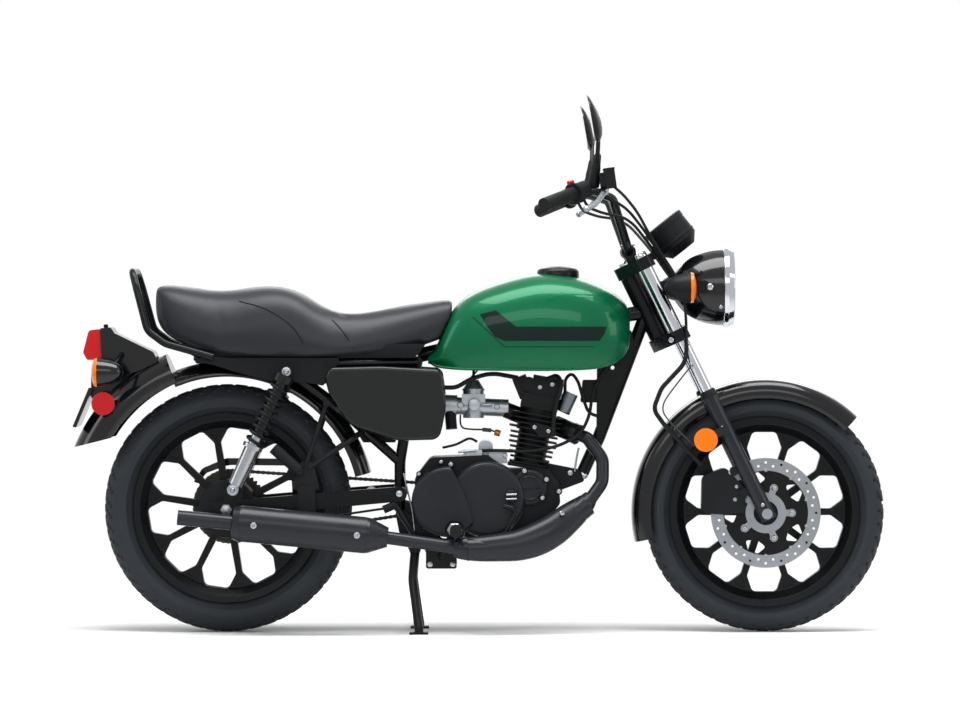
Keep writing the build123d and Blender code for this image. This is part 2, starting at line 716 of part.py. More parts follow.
def engine_wiring(beside):
    """The clutch cable, the hoses about the head, and the coil on the down tube with its lead."""
    clutch_cable = cable(
        [
            (0, -44, 448), (44, -64, 450), (126, -68, 446), (198, -70, 461), (250, -62, 490),
            (272, -48, 535), (278, -34, 580), (290, -26, 620), (316, -24, 655), (350, -22, 700),
        ],
        4,
    )
    breather = cable([(180, -70, 486), (186, -75, 556), (203, -74, 610), (194, -62, 636), (160, -36, 622)], 5.5)
    inlet_hose = cable([(-165, -48, 612), (-85, -58, 604), (-56, -56, 604), (-20, -52, 626), (30, -50, 640), (95, -36, 628)], 5.5)
    lead = cable([(212, -28, 588), (212, -28, 624), (228, -28, 640), (244, -28, 620), (256, -28, 578), (270, -22, 540), (300, -12, 530)], 4)
    coil = slab(polygon([(250, 566), (300, 566), (310, 622), (256, 622)], 5), -12, 12)
    throttle_cable = cable([(-14, 0, 618), (-14, -3, 650), (-4, -5, 680), (24, -5, 712)], 3.5)
    wires = clutch_cable + breather + inlet_hose + lead + throttle_cable + coil
    return wires - beside


def silencer_frame():
    """The silencer's own place, with its first axis along it from the front, and its length."""
    line = Vector(*silencer_rear) - Vector(*silencer_front)
    return Plane(origin=silencer_front, z_dir=line).location * Rot(0, -90, 0), line.length


def muffler():
    place, length = silencer_frame()
    profile = make_face(
        Polyline((0, 16.3), (0, 24), (46, 43), (60, 44.5), (length - 20, 44.5), (length - 4, 40), (length, 18.5),
                 (length + 132, 18.5), (length + 132, 16.5), (length - 8, 16.5), (length - 12, 36), (60, 36), (8, 16.3), close=True)
    )
    return place * revolve(profile, Axis.X)


def footpegs(covers, frame_tubes):
    """One bar under the engine, its mount plates and the two rubber-covered rests."""
    bar = tube([(-57, -232, 258), (-57, -146, 258), (-70, -124, 228), (-94, -92, 190), (-94, 0, 190)], 8, [12, 20, 20])
    bar = both_sides(bar)
    plate = polygon(
        [(-206, 296), (-198, 306), (-184, 302), (-92, 226), (-58, 226), (-55, 159), (-131, 159), (-131, 204), (-196, 244)],
        [8, 6, 10, 16, 8, 6, 6, 14, 16],
    )
    low_plate = plate & Pos(-130, 162) * Rectangle(200, 200)
    bar += (slab(plate, -71, -66) - covers) + slab(low_plate, 66, 71)
    bar += both_sides(across(-121, 170, 60, 76, 7) + across(-65, 170, 60, 76, 7))
    bar += across(-184, 288, -68, -56, 8)
    bar += across(side_stand_x, side_stand_z, 68, 87.5, 9) + across(side_stand_x, side_stand_z, 87.5, 108, 6)
    peg = both_sides(across(-57, 258, -236, -152, 14.5))
    return bar - peg - frame_tubes, peg


def brake_pedal():
    """The pedal on the right, its shaft's arm, and the rod to the rear drum."""
    body = tube([(-150, -98, 226), (-60, -98, 224), (36, -106, 224), (64, -128, 246), (92, -136, 308), (60, -132, 316)], 6, [30, 20, 16, 12])
    body += rod((-150, -98, 226), (-206, -114, 318), 7)
    body += rod((-204, -114, 319), (-234, -113, 306), 10)
    body += rod((-226, -113, 310), (-566, -69.5, 258), 3)
    return body


def foot_pedals(bars, panel):
    return (brake_pedal() + gear_pedal()) - bars - panel


def rear_lenses():
    return both_sides(bullet(-869, 140, 643, -1, 64, 36)[1])


def gear_pedal():
    body = tube([(-60, 112, 250), (60, 122, 230), (90, 150, 228)], 6, [20])
    return body + across(90, 228, 150, 190, 9) + across(-60, 250, 62, 118, 7.5)


def passenger_pegs(frame_tubes, silencer):
    """A plate on each side with its folded rest, two stays up to the frame, and the silencer's hanger."""
    bracket = polygon([(-438, 424), (-406, 424), (-392, 360), (-420, 334), (-456, 360)], 9)
    body = slab(bracket, 112, 118)
    body += rod((-426, 115, 412), (-374, 104, 566), 6) + across(-374, 566, 94, 112, 8)
    body += tube([(-416, 115, 408), (-315, 112, 476), (-285, 84, 496)], 6, [14])
    body += rod((-443, 130, 404), (-503, 138, 458), 14)
    body += across(-440, 402, 112, 140, 9)
    hanger = slab(polygon([(-446, 366), (-402, 366), (-398, 262), (-440, 262)], 8), -122, -118)
    return (both_sides(body) + hanger) - frame_tubes - silencer


def grab_rail():
    side = tube(
        [(-652, 118, 680), (-770, 118, 713), (-813, 114, 745), (-841, 100, 850), (-852, 80, 889), (-852, 0, 889)],
        9,
        [60, 40, 60, 30],
    )
    return both_sides(side)


def tail_lamp(guard):
    """The lamp's housing on its pylon, the plate holder under it, and the stalks with the rear indicators."""
    housing = polygon([(-930, 668), (-934, 750), (-908, 753), (-898, 738), (-803, 692), (-790, 668), (-850, 640)], [4, 4, 8, 6, 6, 6, 20])
    body = slab(housing, -56, 56)
    pylon = slab(polygon([(-790, 680), (-790, 655), (-905, 585), (-918, 600), (-912, 690)], 6), -24, 24)
    holder = slab(polygon([(-905, 585), (-930, 550), (-958, 580), (-958, 640), (-912, 660)], [4, 4, 4, 6, 6]), -30, 30)
    plate = slab(polygon([(-960, 604), (-950, 604), (-991, 506), (-1000, 508)], 2), -75, 75)
    body = body + pylon + holder + plate
    for side in (-1, 1):
        body += rod((-880, side * 50, 686), (-900, side * 136, 648), 8)
        body += bullet(-869, side * 140, 643, -1, 64, 36)[0]
    lens = slab(polygon([(-930.3, 672), (-934.3, 748), (-962, 745), (-976, 690), (-966, 672)], [3, 3, 10, 10, 6]), -52, 52)
    body += both_sides(across(-905, 556, 56, 79, 12))
    reflectors = both_sides(across(-924, 565, 79, 86, 28.5))
    return body - guard, lens - body, reflectors - guard


def bullet(x, y, z, facing, length, radius):
    """A lamp body that tapers away from its lens. facing is 1 for a lens ahead and -1 for one behind."""
    shell = [Spline((0, 0), (length * 0.1, radius * 0.42), (length * 0.6, radius * 0.86), (length, radius))]
    shell += [Line((length, radius), (length, 0)), Line((length, 0), (0, 0))]
    start = length + 0.1
    dome = [Line((start, 0), (start, radius - 0.5)), Line((start, radius - 0.5), (start + 7, radius - 2))]
    dome += [Spline((start + 7, radius - 2), (start + 12, radius * 0.6), (start + 14, 0)), Line((start + 14, 0), (start, 0))]
    place = Pos(x, y, z) * Rot(0, 0, 0 if facing > 0 else 180)
    return place * revolve(make_face(shell), Axis.X), place * revolve(make_face(dome), Axis.X)


def front_indicators():
    shell, lens = bullet(452, 150, 850, 1, 64, 38)
    return both_sides(shell + rod((478, 100, 850), (478, 140, 850), 8)), both_sides(lens)


# Steering
def fork():
    slider = Pos(0, fork_half_width, slider_top / 2 - 8) * Cylinder(slider_radius, slider_top + 16)
    slider = fork_place * slider
    slider -= across(front_axle_x, front_axle_z, -200, 200, axle_radius + axle_clearance)
    arm = polygon([(540, 468), (540, 486), (610, 516), (616, 494)], [6, 6, 3, 3])
    slider += slab(arm, fork_half_width + 15, fork_half_width + 19.9)
    inner = fork_place * Pos(0, fork_half_width, (slider_top + upper_clamp_at) / 2 + 10)
    stanchion = inner * Cylinder(fork_tube_radius, upper_clamp_at - slider_top + 20)
    return both_sides(slider), both_sides(stanchion)


def clamp_plate(at):
    outline = make_hull(
        (Pos(0, fork_half_width) * Circle(24)).edges()
        + (Pos(0, -fork_half_width) * Circle(24)).edges()
        + (Pos(-steering_offset, 0) * Circle(30)).edges()
    )
    plate = extrude(outline, amount=clamp_height)
    return Pos(0, 0, at - clamp_height / 2) * plate


def fork_clamps():
    """Both yokes on one stem, bored for the fork tubes."""
    body = clamp_plate(lower_clamp_at) + clamp_plate(upper_clamp_at)
    bore = both_sides(Pos(0, fork_half_width, 600) * Cylinder(fork_tube_radius, 900))
    body -= bore
    body += Pos(-steering_offset, 0, (lower_clamp_at + upper_clamp_at) / 2) * Cylinder(
        stem_radius, upper_clamp_at - lower_clamp_at
    )
    return fork_place * body


def front_axle():
    body = across(front_axle_x, front_axle_z, -fork_half_width - 24, fork_half_width + 24, axle_radius)
    head = rod((front_axle_x, -fork_half_width - 19.3, front_axle_z), (front_axle_x, -fork_half_width - 30, front_axle_z), 13)
    return body + head


def handlebar():
    side = tube(
        [(368, 0, 938), (368, -70, 938), (325, -176, 1068), (261, -262, 1090), (159, -392, 1049)], 11, [40, 40, 60]
    )
    bar = both_sides(side)
    top = upper_clamp_at + clamp_height / 2
    riser = rod(on_fork(top, -21, 44), on_fork(top + 26, -21, 44), 15)
    riser += across(368, 938, 28, 60, 18)
    return bar + both_sides(riser)


def grips():
    end = Vector(159, -392, 1049)
    start = Vector(261, -262, 1090)
    line = (end - start).normalized()
    outer = end + line * 8
    inner = end - line * 118
    grip = rod(tuple(inner), tuple(outer), 17) + rod(tuple(inner), tuple(inner + line * 6), 26)
    grip -= rod(tuple(inner - line * 5), tuple(end), 11)
    return both_sides(grip)


def controls(bar):
    """The switch pods beside the grips and the front brake's reservoir, then the two levers."""
    end = Vector(159, -392, 1049)
    start = Vector(261, -262, 1090)
    line = (end - start).normalized()
    inner = end - line * 118
    pod = rod(tuple(inner - line * 40), tuple(inner - line * 2), 22)
    pod += rod(tuple(inner - line * 24), (296, -272, 1081), 8)
    tank_place = Pos(316, -262, 1113) * Rot(0, -8, 0)
    reservoir = tank_place * (Box(26, 54, 46) + Pos(-18, 0, 0) * Box(14, 46, 34))
    reservoir += rod((306, -262, 1094), (290, -258, 1078), 7)
    lever = tube([(304, -252, 1080), (300, -296, 1076), (222, -404, 1038)], 6, [20])
    return both_sides(pod) + reservoir - bar, both_sides(lever)


def mirrors(bar, controls_body):
    stem = tube([(273, -246, 1090), (286, -256, 1140), (290, -322, 1236)], 6, [40])
    outline = smooth([(-64, 0), (-50, 44), (0, 52), (54, 40), (66, -6), (40, -50), (-30, -52)])
    back = Plane(origin=(300, -330, 1262), x_dir=(0, 1, 0), z_dir=(1, 0, -0.12)) * (Pos(0, -8) * scale(outline, 0.55))
    glass = Plane(origin=(272, -330, 1266), x_dir=(0, 1, 0), z_dir=(1, 0, -0.12)) * outline
    head = loft([glass, back])
    return both_sides(stem + head) - bar - controls_body


def instrument():
    place = Plane(origin=(455, 0, 1007), x_dir=(0, 1, 0), z_dir=(-0.62, 0, 0.78)).location
    body = place * (Pos(0, 0, -30) * Cylinder(53, 60) + Pos(4, 0, -71) * Cone(34, 53, 22))
    stay = polygon([(27.1, 674), (27.1, 698), (66, 738), (84, 722)], 4)
    return body + fork_place * slab(stay, -14, 14)


def headlamp():
    """The bowl with its rim and lens, and the ears that carry it on the fork tubes."""
    bowl = make_face(
        [Spline((472, 0), (482, 30), (512, 67), (558, 89), (602, 95)), Line((602, 95), (602, 0)), Line((602, 0), (472, 0))]
    )
    rim = polygon([(602.3, 87), (602.3, 98), (614, 99), (629, 92), (629, 85)], [1, 3, 5, 3, 1])
    glass = make_face(
        [Line((602.3, 0), (602.3, 86.7)), Line((602.3, 86.7), (622, 84.7)),
         Spline((622, 84.7), (631, 45), (634, 0)), Line((634, 0), (602.3, 0))]
    )
    place = Pos(0, 0, 852)
    ear = slab(polygon([(440, 866), (560, 868), (568, 838), (436, 830)], 8), 96, 100)
    shell = place * revolve(bowl, Axis.X)
    ears = both_sides(ear + across(545, 852, 80, 104, 9))
    ears -= fork_place * both_sides(Pos(0, fork_half_width, 500) * Cylinder(fork_tube_radius, 900))
    return shell, place * revolve(rim, Axis.X), place * revolve(glass, Axis.X), ears - shell


def front_fender():
    """A rounded guard with deep sides, bolted to the sliders."""
    outer = [(-50, 282), (-52, 302), (-43, 319), (0, 328.5), (43, 319), (52, 302), (50, 282)]
    inside = [(47.5, 282), (49, 301), (41, 315), (0, 325.5), (-41, 315), (-49, 301), (-47.5, 282)]
    shape = [
        Spline(*outer), Line(outer[-1], inside[0]), Spline(*inside), Line(inside[-1], outer[0]),
    ]
    guard = ring(make_face(shape), front_axle_x, front_axle_z, 46, 147)
    foot = on_fork(292, 2)
    high = on_fork(308, -6)
    for x, _, z in (foot, high):
        guard += both_sides(across(x, z, 48.5, fork_half_width - 12, 8))
    return guard


def caliper():
    """The block behind the fork leg that the disc runs through, with its lugs on the slider."""
    side = polygon([(-160, 0), (-158, 90), (-100, 114), (-52, 60), (-50, 4), (-88, -4)], [16, 20, 20, 16, 12, 20])
    block = Pos(front_axle_x, 0, front_axle_z) * slab(side, -92, -50)
    block -= across(front_axle_x, front_axle_z, -disc_side - 7, -disc_side + 7, disc_radius + 6)
    for along in (70, 128):
        x, _, z = on_fork(along, -26)
        block += across(x, z, -100, -74, 11)
    return block


def reflectors():
    return across(555, 477, fork_half_width + 19.9, fork_half_width + 27, 29)


def brake_hose():
    hose = tube(
        [(508, -116, 712), (506, -122, 668), (446, -124, 604), (426, -124, 552), (452, -120, 516), (545, -92.3, 414)],
        5.5,
        [60, 60, 30, 30],
    )
    return hose


def control_cables(beside):
    """The brake line, both throttle cables and the clutch cable, from the bar down past the instrument."""
    brake_line = [
        (326, -262, 1094), (350, -238, 1074), (384, -186, 1036), (414, -134, 984), (446, -104, 934),
        (474, -98, 892), (497, -113, 850), (506, -116, 790), (508, -116, 708),
    ]
    opening_cable = [
        (248, -278, 1072), (262, -268, 1044), (300, -250, 1030), (350, -190, 1022), (378, -150, 1004),
        (408, -106, 968), (435, -80, 934), (460, -55, 896), (486, -22, 858),
    ]
    closing_cable = [
        (296, -256, 1080), (322, -238, 1064), (362, -186, 1040), (404, -124, 990), (436, -94, 944),
        (462, -68, 900), (490, -38, 864),
    ]
    wires = cable(brake_line, 3.5) + cable(opening_cable, 3.5) + cable(closing_cable, 3.5)
    return (wires + mirror(cable(opening_cable, 3.5), about=Plane.XZ)) - beside


# Stands
def centre_stand():
    """Two splayed legs with feet, joined by a tube at the pivot and a brace."""
    leg = tube([(stand_x, 58, stand_z), (stand_x - 6, 70, 130), (stand_x + 10, 100, 14)], 11, [120])
    foot = Pos(stand_x + 10, 100, 3) * Box(46, 30, 6)
    rise = rod((stand_x + 10, 100, 5), (stand_x + 10, 100, 16), 11)
    eye = across(stand_x, stand_z, 46.5, 66, 14)
    body = both_sides(leg + foot + rise + eye) + across(stand_x - 5, 130, -70, 70, 8)
    return body - across(stand_x, stand_z, -100, 100, 7 + axle_clearance)


def side_stand():
    """A folded leg along the left side, with its foot at the rear end."""
    leg = rod((side_stand_x, 98, side_stand_z), (side_stand_x - 172, 135, side_stand_z + 14), 9)
    foot = Pos(side_stand_x - 180, 137, side_stand_z + 12) * Box(34, 20, 10)
    eye = across(side_stand_x, side_stand_z, 88, 104, 15)
    return leg + foot + eye - across(side_stand_x, side_stand_z, 0, 200, 6 + axle_clearance)


def main():
    fuel_tank = tank()
    frame_tubes = frame()
    case = crankcase(frame_tubes)
    head = cylinder_head()
    covers = engine_covers()
    barrel = cylinder(case, head)
    box = air_box()
    bar = handlebar()
    pods, levers = controls(bar)
    silencer = muffler()
    panel = brake_panel()
    fuel_system = carburettor(head, box)
    starter = starter_motor(case, barrel)
    front_hose = brake_hose()
    sleeve, silencer_plate = exhaust_shields()
    peg_bar, peg_rubbers = footpegs(covers, frame_tubes)
    guard = rear_fender()
    lamp_body, tail_lens, rear_reflectors = tail_lamp(guard)
    indicator_bodies, indicator_lenses = front_indicators()
    lamp_shell, lamp_rim, lamp_lens, lamp_ears = headlamp()
    clamps = fork_clamps() + lamp_ears
    front_reflectors = both_sides(reflectors())
    sliders, stanchions = fork()
    pieces = {
        "frame": frame_tubes,
        "swingarm": swingarm(),
        "rear_axle": rear_axle(),
        "brake_panel": panel,
        "drive_chain": drive_chain(),
        "chain_guard": chain_guard(),
        "rear_fender": guard,
        "tank": fuel_tank,
        "fuel_cap": fuel_cap(fuel_tank),
        "seat": seat(fuel_tank, frame_tubes),
        "side_covers": side_covers(frame_tubes),
        "seat_rail_panels": seat_rail_panels(),
        "air_box": box,
        "crankcase": case,
        "engine_covers": covers,
        "cylinder": barrel,
        "cylinder_head": head,
        "carburettor": fuel_system,
        "starter_motor": starter,
        "engine_wiring": engine_wiring(frame_tubes + head + barrel + fuel_system + starter),
        "exhaust_pipe": exhaust_pipe() - head - silencer,
        "muffler": silencer,
        "exhaust_shields": sleeve + silencer_plate,
        "footpeg_bar": peg_bar,
        "footpeg_rubbers": peg_rubbers,
        "foot_pedals": foot_pedals(peg_bar + peg_rubbers, panel),
        "passenger_pegs": passenger_pegs(frame_tubes, silencer),
        "grab_rail": grab_rail() - frame_tubes,
        "tail_lamp": lamp_body,
        "tail_lens": tail_lens + rear_reflectors,
        "rear_lenses": rear_lenses(),
        "fork_clamps": clamps,
        "fork_sliders": sliders,
        "fork_tubes": stanchions,
        "front_axle": front_axle(),
        "handlebar": bar,
        "hand_controls": pods,
        "hand_levers": levers - pods - bar,
        "grips": grips(),
        "mirrors": mirrors(bar, pods),
        "instrument": instrument(),
        "headlamp_shell": lamp_shell,
        "headlamp_rim": lamp_rim,
        "headlamp_lens": lamp_lens,
        "front_indicators": indicator_bodies,
        "front_lenses": indicator_lenses + (front_reflectors - sliders),
        "front_fender": front_fender() - sliders,
        "caliper": caliper() - sliders,
        "brake_hose": front_hose,
        "control_cables": control_cables(pods + levers + bar + lamp_shell + front_hose + clamps),
        "centre_stand": centre_stand(),
        "side_stand": side_stand(),
    }
    pieces.update(front_wheel())
    pieces.update(rear_wheel())
    pieces.update(shocks())
    os.makedirs("parts", exist_ok=True)
    for name, shape in pieces.items():
        export_step(shape, f"parts/{name}.step")


main()
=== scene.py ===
import bmesh
import bpy
import json
import math
from mathutils import Matrix, Vector
from mathutils.bvhtree import BVHTree


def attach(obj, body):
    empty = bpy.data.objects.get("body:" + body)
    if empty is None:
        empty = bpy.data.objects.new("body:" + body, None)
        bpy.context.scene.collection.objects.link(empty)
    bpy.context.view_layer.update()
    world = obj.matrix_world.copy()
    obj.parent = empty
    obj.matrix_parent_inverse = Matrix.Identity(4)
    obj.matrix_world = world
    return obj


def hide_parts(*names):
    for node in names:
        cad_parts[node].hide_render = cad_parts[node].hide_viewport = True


# Standard motorcycle: the looks. Metres, +X forward, +Y to the rider's left, +Z up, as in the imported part.
# Sizes in the dictionaries are millimetres, apart from the studio's and the camera's, which are metres.
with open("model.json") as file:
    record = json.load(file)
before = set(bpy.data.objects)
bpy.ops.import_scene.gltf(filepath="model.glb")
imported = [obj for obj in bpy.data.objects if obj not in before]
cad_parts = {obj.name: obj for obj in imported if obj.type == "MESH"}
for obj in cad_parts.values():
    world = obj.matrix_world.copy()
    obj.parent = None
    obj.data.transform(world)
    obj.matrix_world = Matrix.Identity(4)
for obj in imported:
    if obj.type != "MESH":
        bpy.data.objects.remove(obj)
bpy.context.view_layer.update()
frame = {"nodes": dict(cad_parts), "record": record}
nodes = frame["nodes"]
mm = 0.001
right = (0, -1, 0)
left = (0, 1, 0)
up = (0, 0, 1)
sides = ((-1, "Right"), (1, "Left"))
frontAxle = (705, 296)
rearAxle = (-620, 306)
print("stage: frame loaded")


# Colours and materials
def linear(hexColour):
    # From an sRGB hex colour to what a node's colour input takes
    values = []
    for start in (0, 2, 4):
        value = int(hexColour[start:start + 2], 16) / 255
        values.append(value / 12.92 if value <= 0.04045 else ((value + 0.055) / 1.055) ** 2.4)
    return (*values, 1.0)


def addNode(tree, kind, settings=None, links=None):
    # settings are input defaults or node properties, links go from an input's name to an output socket
    node = tree.nodes.new(kind)
    for key, value in (settings or {}).items():
        if isinstance(key, str) and not any(socket.name == key for socket in node.inputs):
            setattr(node, key, value)
        else:
            node.inputs[key].default_value = value
    for key, socket in (links or {}).items():
        tree.links.new(node.inputs[key], socket)
    return node


patchSize = 90.9  # mm across the soft patches of tone and wear
grainHeight = 0.2  # share of the grain's size
surfaceInputs = {
    "roughness": "Roughness", "metallic": "Metallic", "coat": "Coat Weight", "coatRoughness": "Coat Roughness",
    "specular": "Specular IOR Level", "transmission": "Transmission Weight", "ior": "IOR",
}


def makeMaterial(name, settings):
    # tone is a second colour in soft patches, and wear is how far the roughness drifts with them. grain is a
    # size in mm. Castings and rubber have it two or three times as coarse as real, which would not show.
    material = bpy.data.materials.new(name)
    material.use_nodes = True
    tree = material.node_tree
    tree.nodes.clear()
    surface = addNode(tree, "ShaderNodeBsdfPrincipled", {"Base Color": linear(settings["colour"])})
    addNode(tree, "ShaderNodeOutputMaterial", {}, {"Surface": surface.outputs[0]})
    for key, socket in surfaceInputs.items():
        if key in settings:
            surface.inputs[socket].default_value = settings[key]
    place = addNode(tree, "ShaderNodeTexCoord").outputs["Object"]
    cloud = addNode(
        tree, "ShaderNodeTexNoise", {"Scale": 1 / (patchSize * mm), "Detail": 5.0}, {"Vector": place}
    ).outputs["Fac"]
    if "tone" in settings:
        blend = addNode(
            tree,
            "ShaderNodeMix",
            {"data_type": "RGBA", 6: linear(settings["colour"]), 7: linear(settings["tone"])},
            {0: cloud},
        )
        tree.links.new(surface.inputs["Base Color"], blend.outputs[2])
    if "wear" in settings:
        low = settings["roughness"] - settings["wear"]
        high = settings["roughness"] + settings["wear"]
        spread = addNode(
            tree,
            "ShaderNodeMapRange",
            {"From Min": 0.3, "From Max": 0.7, "To Min": low, "To Max": high},
            {"Value": cloud},
        )
        tree.links.new(surface.inputs["Roughness"], spread.outputs["Result"])
    if "grain" in settings:
        grain = settings["grain"] * mm
        noise = addNode(tree, "ShaderNodeTexNoise", {"Scale": 1 / grain, "Detail": 3.0}, {"Vector": place})
        bump = addNode(
            tree,
            "ShaderNodeBump",
            {"Strength": settings["grainStrength"], "Distance": grain * grainHeight},
            {"Height": noise.outputs["Fac"]},
        )
        tree.links.new(surface.inputs["Normal"], bump.outputs["Normal"])
    return material, tree, surface, place


# slot is the record's material slot. A CAD node takes the first look that has its slot.
looks = {
    # Stove enamel sprayed on welded tube: a hard deep black with one soft highlight along each tube.
    "stoveEnamel": {
        "slot": "frame_black", "colour": "07080a", "tone": "0b0d0f", "roughness": 0.28, "coat": 0.06,
        "coatRoughness": 0.04, "wear": 0.04, "specular": 0.12,
    },
    # Metallic base under clear lacquer on pressed steel: a deep green, light only where it faces the lamp.
    "metallicLacquer": {
        "slot": "tank_green", "colour": "04552f", "roughness": 0.32, "metallic": 0.3, "coat": 0.22,
        "coatRoughness": 0.02, "specular": 0.06,
    },
    # Heat-proof paint baked on exhaust steel: even satin black, its highlight broad and soft.
    "heatProofPaint": {
        "slot": "satin_black", "colour": "16181c", "tone": "1d1f24", "roughness": 0.3, "wear": 0.05,
        "specular": 0.2,
    },
    # Engine paint over sand-cast aluminium: dull black with the sand's grain under it.
    "paintedCasting": {
        "slot": "engine_black", "colour": "0b0c0e", "tone": "14161a", "roughness": 0.4, "grain": 1.2,
        "grainStrength": 0.35, "wear": 0.06, "specular": 0.14,
    },
    # Powder coat on die-cast covers: dark grey, smoother than the crankcase, with a faint orange peel.
    "powderCoat": {
        "slot": "cover_grey", "colour": "16181b", "tone": "1d2024", "roughness": 0.32, "grain": 1.0,
        "grainStrength": 0.12, "wear": 0.04, "specular": 0.16,
    },
    # ABS moulded in a polished tool: piano black with a sharp highlight.
    "polishedAbs": {
        "slot": "fender_black", "colour": "08090c", "roughness": 0.18, "coat": 0.32, "coatRoughness": 0.03,
        "specular": 0.16,
    },
    # ABS painted satin grey: smooth, a little lighter than the parts round it.
    "paintedAbs": {
        "slot": "side_cover_grey", "colour": "111413", "tone": "171a19", "roughness": 0.24, "coat": 0.15,
        "coatRoughness": 0.04, "specular": 0.14,
    },
    # Polypropylene moulded in an etched tool: matt black with a fine grain.
    "grainedPolypropylene": {
        "slot": "trim_black", "colour": "0b0c0e", "tone": "121316", "roughness": 0.46, "grain": 0.9,
        "grainStrength": 0.25, "specular": 0.12,
    },
    # Coated vinyl embossed like leather: soft charcoal with a pebbled grain, at its real size.
    "embossedVinyl": {
        "slot": "seat_vinyl", "colour": "191b1f", "tone": "202227", "roughness": 0.4, "grain": 1.6,
        "grainStrength": 0.5, "specular": 0.2,
    },
    # Cast aluminium, blasted and left bare: pale grey metal with a dull, rough sheen.
    "castAluminium": {
        "slot": "cast_aluminium", "colour": "83878d", "tone": "a3a7ad", "roughness": 0.4, "metallic": 0.9,
        "grain": 1.3, "grainStrength": 0.35, "wear": 0.08,
    },
    # Chrome plate on polished steel: it mirrors the studio.
    "chromePlate": {"slot": "chrome", "colour": "b2b5ba", "roughness": 0.08, "metallic": 1.0, "wear": 0.03},
    # Turned or ground steel: mid grey metal, bright where it faces the lamp.
    "turnedSteel": {
        "slot": "steel", "colour": "8b8f94", "roughness": 0.3, "metallic": 0.95, "wear": 0.06,
        "specular": 0.15,
    },
    # Anodised aluminium tube: even silver, softer than chrome.
    "anodisedAluminium": {
        "slot": "damper_silver", "colour": "8e9196", "tone": "a2a5aa", "roughness": 0.3, "metallic": 0.85,
        "wear": 0.05,
    },
    # Rolled steel plates wet with oil and road dust: brown grey, shiny in patches.
    "oiledSteel": {
        "slot": "chain_steel", "colour": "2e2c29", "tone": "45423c", "roughness": 0.4, "metallic": 0.8,
        "wear": 0.1,
    },
    # Vulcanised tyre rubber with a little road dust: matt charcoal.
    "tyreRubber": {
        "slot": "tyre", "colour": "212428", "tone": "2a2d31", "roughness": 0.62, "grain": 0.8,
        "grainStrength": 0.25, "wear": 0.06, "specular": 0.16,
    },
    # Soft rubber moulded in a plain tool: matt black that takes little light.
    "mouldedRubber": {
        "slot": "rubber", "colour": "0d0e0f", "tone": "131416", "roughness": 0.56, "grain": 0.8,
        "grainStrength": 0.2, "specular": 0.14,
    },
    # Acrylic dyed through: saturated colour under a smooth skin.
    "amberAcrylic": {
        "slot": "amber", "colour": "dc6c04", "roughness": 0.16, "coat": 0.15, "coatRoughness": 0.04,
        "specular": 0.15,
    },
    "redAcrylic": {
        "slot": "red", "colour": "b01217", "roughness": 0.16, "coat": 0.15, "coatRoughness": 0.04,
        "specular": 0.15,
    },
    # Pressed lamp glass: milky where its flutes catch the light, clear between them.
    "pressedGlass": {
        "slot": "lamp_glass", "colour": "c9cfd3", "roughness": 0.05, "transmission": 0.6, "ior": 1.45,
    },
    # Glass-filled nylon with a spark-etched skin: black with a close, even sheen.
    "mouldedNylon": {
        "slot": "mirror_black", "colour": "0a0b0c", "tone": "0f1113", "roughness": 0.3, "specular": 0.14,
    },
    # Flat instrument glass: it shows the dial with hardly a reflection.
    "flatGlass": {
        "slot": "lamp_glass", "colour": "ffffff", "roughness": 0.01, "transmission": 1.0, "ior": 1.45,
        "specular": 0.2,
    },
    # Bright zinc plate on forged screws: small cool glints.
    "zincPlate": {
        "slot": "steel", "colour": "a4a8ad", "tone": "84888e", "roughness": 0.28, "metallic": 1.0,
        "wear": 0.06,
    },
    # Glass silvered on its back: a clean mirror.
    "silveredGlass": {"slot": "chrome", "colour": "b4b8bc", "roughness": 0.02, "metallic": 1.0},
    # Dial foil printed matt black, so that the scale stands out.
    "printedFoil": {
        "slot": "trim_black", "colour": "0a0b0c", "tone": "101214", "roughness": 0.5, "specular": 0.12,
    },
    # Screen-printed white ink: flat and bright.
    "whiteInk": {
        "slot": "trim_black", "colour": "e9ecef", "roughness": 0.5, "grain": 0.8, "grainStrength": 0.2,
    },
    # Nylon dyed red: a waxy small button.
    "redNylon": {"slot": "red", "colour": "b4141c", "tone": "9c1018", "roughness": 0.4, "specular": 0.2},
    # Copper-plated brass fitting: warm metal, a little tarnished.
    "copperPlate": {"slot": "steel", "colour": "a8623a", "tone": "8a4c2c", "roughness": 0.35, "metallic": 0.9},
    # PVC drawn over a cable: dark grey, smoother than rubber.
    "cableSheath": {
        "slot": "rubber", "colour": "2c2f33", "tone": "383b40", "roughness": 0.42, "grain": 0.8,
        "grainStrength": 0.2, "specular": 0.15,
    },
}
materials = {name: makeMaterial(name, settings)[0] for name, settings in looks.items()}


def paint(piece, material):
    piece.data.materials.clear()
    piece.data.materials.append(material)


lookOf = {}
for name, settings in looks.items():
    lookOf.setdefault(settings["slot"], name)
slotOf = {piece["node"]: piece["material_slot"] for piece in frame["record"]["subparts"]}
for name, node in nodes.items():
    paint(node, materials[lookOf[slotOf[name]]])
print("stage: materials")


# Mesh tools
mergeDistance = 0.005 * mm


def newPiece(name, bm, look, body, smooth=35, stands=()):
    bmesh.ops.remove_doubles(bm, verts=bm.verts, dist=mergeDistance)
    bmesh.ops.recalc_face_normals(bm, faces=bm.faces)
    mesh = bpy.data.meshes.new(name)
    bm.to_mesh(mesh)
    bm.free()
    mesh.shade_smooth()
    mesh.set_sharp_from_angle(angle=math.radians(smooth))
    mesh.materials.append(materials[look])
    piece = bpy.data.objects.new(name, mesh)
    bpy.context.collection.objects.link(piece)
    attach(piece, body)
    if stands:
        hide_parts(*stands)
    return piece


